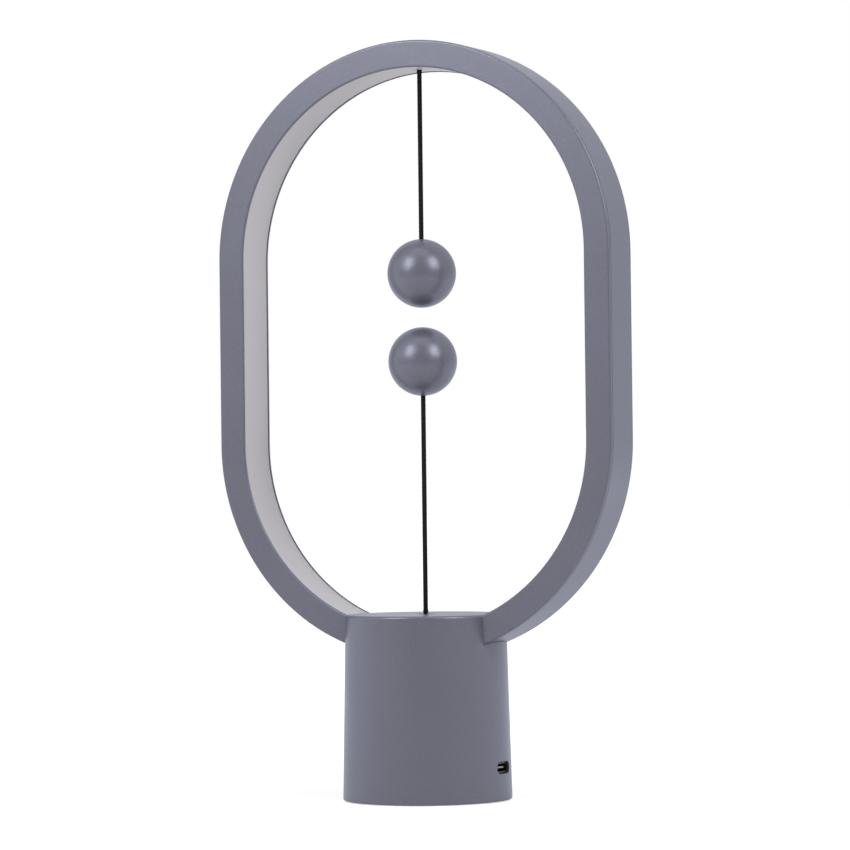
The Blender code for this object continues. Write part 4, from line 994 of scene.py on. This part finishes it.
class RINGLAMP_OT_ring(bpy.types.Operator):
    """Makes the ring's two mouldings and the diffuser as smooth bands"""

    bl_idname = "ringlamp.ring"
    bl_label = "Ring"

    def execute(self, context):
        moulding = moulding_finish()
        size = sizes()
        body = add_band("ring_body", self.body_section(), moulding)
        face = add_band("ring_face", self.face_section(), moulding)
        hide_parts("ring_shell")
        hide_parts("ring_front_cover")
        finish = diffuser_finish()
        radius = FACE_HIGH[0]
        reach = ring_low_centre() - DIFFUSER_LOW[2]
        inner = radius - (size.ring_band - size.diffuser_recess - size.diffuser_thickness)
        angle = math.acos(reach / inner)
        offset = (radius - size.ring_band / 2) * math.sin(angle)
        diffuser = add_band("ring_diffuser", self.diffuser_section(), finish, offset)
        hole = size.cord_diameter / 2 + DIFFUSER_HOLE_GAP
        low, high = DIFFUSER_HIGH[2] - OVERRUN, DIFFUSER_HIGH[2] + OVERRUN
        cut(diffuser, turned([(0.0, low), (hole, low), (hole, high), (0.0, high)], HOLE_SIDES))
        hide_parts("diffuser_strip")
        for piece, slot in ((body, "moulding"), (face, "moulding"), (diffuser, "diffuser")):
            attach(piece, "lamp")
        return {"FINISHED"}

    def wall_corners(self, start, outside, way):
        """Corners (depth, y, radius) of a wall, from its free edge to behind the diffuser's ledge."""
        size = sizes()
        band = size.ring_band
        lip = outside + way * size.ring_lip
        inside = outside + way * size.ring_wall
        ledge = inside + way * size.ledge_height
        diffuser = size.diffuser_recess + size.diffuser_thickness
        bed = band - diffuser - size.ledge_gap
        under = bed - size.ledge_thickness
        return [
            (0.0, start, size.seam_round),
            (0.0, outside, size.ring_round),
            (band, outside, size.ring_round * INNER_ROUND_SHARE),
            (band, lip, size.seam_round),
            (bed, lip, 0.0),
            (bed, ledge, 0.0),
            (under, ledge, 0.0),
            (under, inside, 0.0),
        ]

    def body_section(self):
        """Outer wall and rear wall."""
        wall = sizes().ring_wall
        front = FACE_LOW[1] + wall + sizes().seam
        outer = [(wall, BACK_EDGE - wall, 0.0), (wall, front, 0.0)]
        return softened(self.wall_corners(front, BACK_EDGE, -1) + outer)

    def face_section(self):
        """Front wall, rounded at both edges."""
        front = FACE_LOW[1]
        return softened(self.wall_corners(front + sizes().ring_wall, front, 1))

    def diffuser_section(self):
        """A strip that fills the band between its walls, crowned in the middle."""
        size = sizes()
        low = FACE_LOW[1] + size.ring_lip + size.ledge_gap
        high = BACK_EDGE - size.ring_lip - size.ledge_gap
        edge = size.ring_band - size.diffuser_recess
        outline = []
        for share in spread(0.0, 1.0, CROWN_STEPS):
            rise = size.diffuser_crown * math.sin(math.pi * share) ** CROWN_SHARE
            outline.append((edge + rise, low + (high - low) * share))
        under = edge - size.diffuser_thickness
        return outline + [(under, high), (under, low)]


class RINGLAMP_OT_balls(bpy.types.Operator):
    """Makes both balls without a seam, each round the cord's hole"""

    bl_idname = "ringlamp.balls"
    bl_label = "Balls"

    def execute(self, context):
        finish = moulding_finish()
        for prefix, way in (("upper", 1), ("lower", -1)):
            magnet_box, cord_box = BALL_BOXES[prefix]
            radius = (cord_box[1][0] - cord_box[0][0]) / 2
            pole = magnet_box[0 if way == 1 else 1][2]
            outline = self.outline(radius, pole + way * radius, way)
            ball = add_closed(f"{prefix}_ball", turned(outline, BALL_SIDES), finish)
            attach(ball, f"{prefix}_pendulum")
            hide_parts(f"{prefix}_ball_cord_half", f"{prefix}_ball_magnet_half")
            dress(magnet_finish(), f"{prefix}_magnet")
        return {"FINISHED"}

    def outline(self, radius, centre, way):
        """Half the section of a hollow ball, with a rounded hole for the cord at one pole."""
        hole = sizes().cord_diameter / 2 + BALL_HOLE_GAP
        inner = radius - sizes().ball_wall
        mouth = math.acos((hole + BALL_LIP_WIDTH) / radius)
        outside = arc(radius, -QUARTER, mouth, BALL_STEPS * 2)[1:]
        height = radius * math.sin(mouth)
        across, down = BALL_LIP_ROUND
        lip = [(hole + across, height - down), (hole, height - BALL_LIP_DEPTH)]
        inside = arc(inner, math.acos(hole / inner), -QUARTER, BALL_STEPS)[:-1]
        section = [(0.0, -radius)] + outside + lip + inside + [(0.0, -inner)]
        return [(x, centre + way * z) for x, z in section]


class RINGLAMP_OT_base(bpy.types.Operator):
    """Makes the tapered base, its lid with the flared mouth, and the underside"""

    bl_idname = "ringlamp.base"
    bl_label = "Base"

    def execute(self, context):
        size = sizes()
        moulding = moulding_finish()
        top, bottom = BASE_HIGH[2], BASE_LOW[2]
        rim = size.base_top_radius - size.rim_width
        lid_low = top - size.lid_thickness
        wall = size.base_wall
        ledge = lid_low - size.lid_gap
        under = ledge - size.lid_ledge_height
        ledge_edge = rim - size.lid_ledge
        outline = softened([
            (size.base_foot_radius - wall, bottom, 0.0),
            (size.base_foot_radius, bottom, size.base_foot_round),
            (size.base_top_radius, top, size.base_top_round),
            (rim, top, 0.0),
            (rim, ledge, 0.0),
            (ledge_edge, ledge, 0.0),
            (ledge_edge, under, 0.0),
            (size.base_top_radius - wall, under - size.lid_ledge, 0.0),
        ])
        body = add_closed("base_body", turned(outline, BASE_SIDES), moulding)
        far = size.base_foot_radius + OVERRUN
        near = size.base_top_radius - wall - OVERRUN
        cut(body, ring_seat_shape(), prism_along_x(inlet_hole_outline(), near, far))
        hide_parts("base_shell")
        guide = size.cord_bore + size.guide_wall
        guide_low = lid_low - size.guide_length
        edge = rim - size.lid_seam
        lid_outline = softened([
            (size.cord_mouth, top, size.mouth_round),
            (edge, top, size.lid_seam),
            (edge, lid_low, 0.0),
            (guide, lid_low, 0.0),
            (guide, guide_low, 0.0),
            (size.cord_bore, guide_low, 0.0),
            (size.cord_bore, top - size.cord_mouth, size.mouth_round),
        ], guard=LID_GUARD)
        lid = add_closed("base_lid", turned(lid_outline, BASE_SIDES), moulding)
        cut(lid, ring_seat_shape())
        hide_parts("base_cap")
        for piece in (body, lid):
            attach(piece, "lamp")
        dress(moulding, "base_cover")
        dress(rubber_finish(), "foot_ring")
        dress(steel_finish(), *(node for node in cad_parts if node.startswith("cover_screw")))
        return {"FINISHED"}


class RINGLAMP_OT_inlet(bpy.types.Operator):
    """Finishes the power inlet and lays the contacts on its tongue"""

    bl_idname = "ringlamp.inlet"
    bl_label = "Power Inlet"

    def execute(self, context):
        # The shell's near black metal is painted shade inside the port.
        dress(inlet_finish_with_painted_shade(), "inlet_shell")
        dress(tongue_finish(), "inlet_tongue")
        contacts = self.contact_row()
        # The black sleeve darkens the walls of the inlet's hole: partly a dark lining, partly painted
        # shade.
        liner = add_closed("inlet_liner", self.liner_shape(), insulator_finish())
        for piece, slot in ((contacts, "steel"), (liner, "insulator")):
            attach(piece, "lamp")
        return {"FINISHED"}

    def liner_shape(self):
        """A thin black sleeve in the inlet's hole, its front end flush with the round base; partly a dark
        lining of its own, partly painted shade on the hole's walls.
        """
        size = sizes()
        near = size.base_top_radius - size.base_wall
        taper = (size.base_foot_radius - size.base_top_radius) / BASE_HIGH[2]
        shape = bmesh.new()
        loops = []
        wall = size.liner_wall
        for inset, flush in ((LINER_GAP, True), (wall, True), (wall, False), (LINER_GAP, False)):
            loop = []
            for y, z in inlet_hole_outline(inset):
                radius = size.base_foot_radius - taper * z
                surface = math.sqrt(radius**2 - y**2) - LINER_GAP
                loop.append(shape.verts.new((surface if flush else near, y, z)))
            loops.append(loop)
        for index, loop in enumerate(loops):
            bridge(shape, loops[index - 1], loop)
        return shape

    def contact_row(self):
        """Flat contacts on both sides of the tongue, laid out by a Geometry Nodes tree."""
        size = sizes()
        length = size.contact_length
        thickness = size.contact_thickness
        inputs = {"Count": "Int", "Row Width": "Float", "Contact Size": "Vector", "Height Step": "Float"}
        tree, start, end = geometry_tree("Contact rows", inputs)
        contact = tree.nodes.new("GeometryNodeMeshCube")
        joined = tree.nodes.new("GeometryNodeJoinGeometry")
        join(tree, (start, "Contact Size", contact, "Size"))
        for sign in (1.0, -1.0):
            line = tree.nodes.new("GeometryNodeMeshLine")
            line.mode = "END_POINTS"
            scatter = tree.nodes.new("GeometryNodeInstanceOnPoints")
            for share, entry in ((-0.5, "Start Location"), (0.5, "Offset")):
                place = tree.nodes.new("ShaderNodeCombineXYZ")
                for value, factor, axis in (("Row Width", share, "Y"), ("Height Step", sign, "Z")):
                    product = math_node(tree, "MULTIPLY", start.outputs[value], factor)
                    tree.links.new(product, place.inputs[axis])
                join(tree, (place, "Vector", line, entry))
            join(
                tree,
                (start, "Count", line, "Count"),
                (line, "Mesh", scatter, "Points"),
                (contact, "Mesh", scatter, "Instance"),
                (scatter, "Instances", joined, "Geometry"),
            )
        close_tree(tree, joined, "Geometry", start, end)
        holder = add_object("contact_holder", bpy.data.meshes.new("contact_holder"))
        modifier = holder.modifiers.new("contacts", "NODES")
        modifier.node_group = tree
        across = size.contact_row / size.contact_count * CONTACT_WIDTH_SHARE
        set_inputs(modifier, {
            "Count": size.contact_count,
            "Row Width": size.contact_row,
            "Contact Size": (length, across, thickness),
            "Height Step": size.tongue_thickness / 2 + thickness / 2,
            "Finish": contact_finish(),
        })
        mesh = plain_mesh(holder)
        bpy.data.objects.remove(holder)
        middle_z = (TONGUE_HIGH[2] + TONGUE_LOW[2]) / 2
        middle_x = TONGUE_HIGH[0] - size.contact_inset - length / 2
        mesh.transform(Matrix.Translation((middle_x, 0.0, middle_z)))
        return add_piece("inlet_contacts", mesh, contact_finish())


class RINGLAMP_OT_inner(bpy.types.Operator):
    """Finishes what the base and the ring hold inside"""

    bl_idname = "ringlamp.inner"
    bl_label = "Inner Parts"

    def execute(self, context):
        dress(strip_finish(), "led_strip")
        dress(board_finish(), "circuit_board")
        dress(steel_finish(), "base_weight", "ring_screw_left", "ring_screw_right", "upper_cord_washer")
        dress(steel_finish(), "return_spring", "switch_lever", "lever_pin")
        dress(insulator_finish(), "switch_frame", "switch_body", "switch_button", "pull_stem")
        dress(insulator_finish(), "strip_lead_front", "strip_lead_back")
        return {"FINISHED"}


class RINGLAMP_PT_panel(bpy.types.Panel):
    """Lists the steps that dress the lamp"""

    bl_label = "Ring Lamp"
    bl_idname = "RINGLAMP_PT_panel"
    bl_space_type = "VIEW_3D"
    bl_region_type = "UI"
    bl_category = "Ring Lamp"

    def draw(self, context):
        for step in STEPS:
            self.layout.operator(step.bl_idname)
        for group in (sizes(), finishes(), stage()):
            column = self.layout.column()
            for name in group.__annotations__:
                column.prop(group, name)


STEPS = (
    RINGLAMP_OT_stage,
    RINGLAMP_OT_cords,
    RINGLAMP_OT_ring,
    RINGLAMP_OT_balls,
    RINGLAMP_OT_base,
    RINGLAMP_OT_inlet,
    RINGLAMP_OT_inner,
)
SETTINGS = (RingLampSizes, RingLampFinishes, RingLampStage)
SLOTS = ("ring_lamp_sizes", "ring_lamp_finishes", "ring_lamp_stage")
CLASSES = SETTINGS + STEPS + (RINGLAMP_PT_panel,)


def register():
    for kind in CLASSES:
        bpy.utils.register_class(kind)
    for slot, kind in zip(SLOTS, SETTINGS):
        setattr(bpy.types.Scene, slot, PointerProperty(type=kind))


def unregister():
    for slot in SLOTS:
        delattr(bpy.types.Scene, slot)
    for kind in reversed(CLASSES):
        bpy.utils.unregister_class(kind)


def main():
    register()
    for step in STEPS:
        getattr(bpy.ops.ringlamp, step.bl_idname.split(".")[1])()


if __name__ == "__main__":
    main()
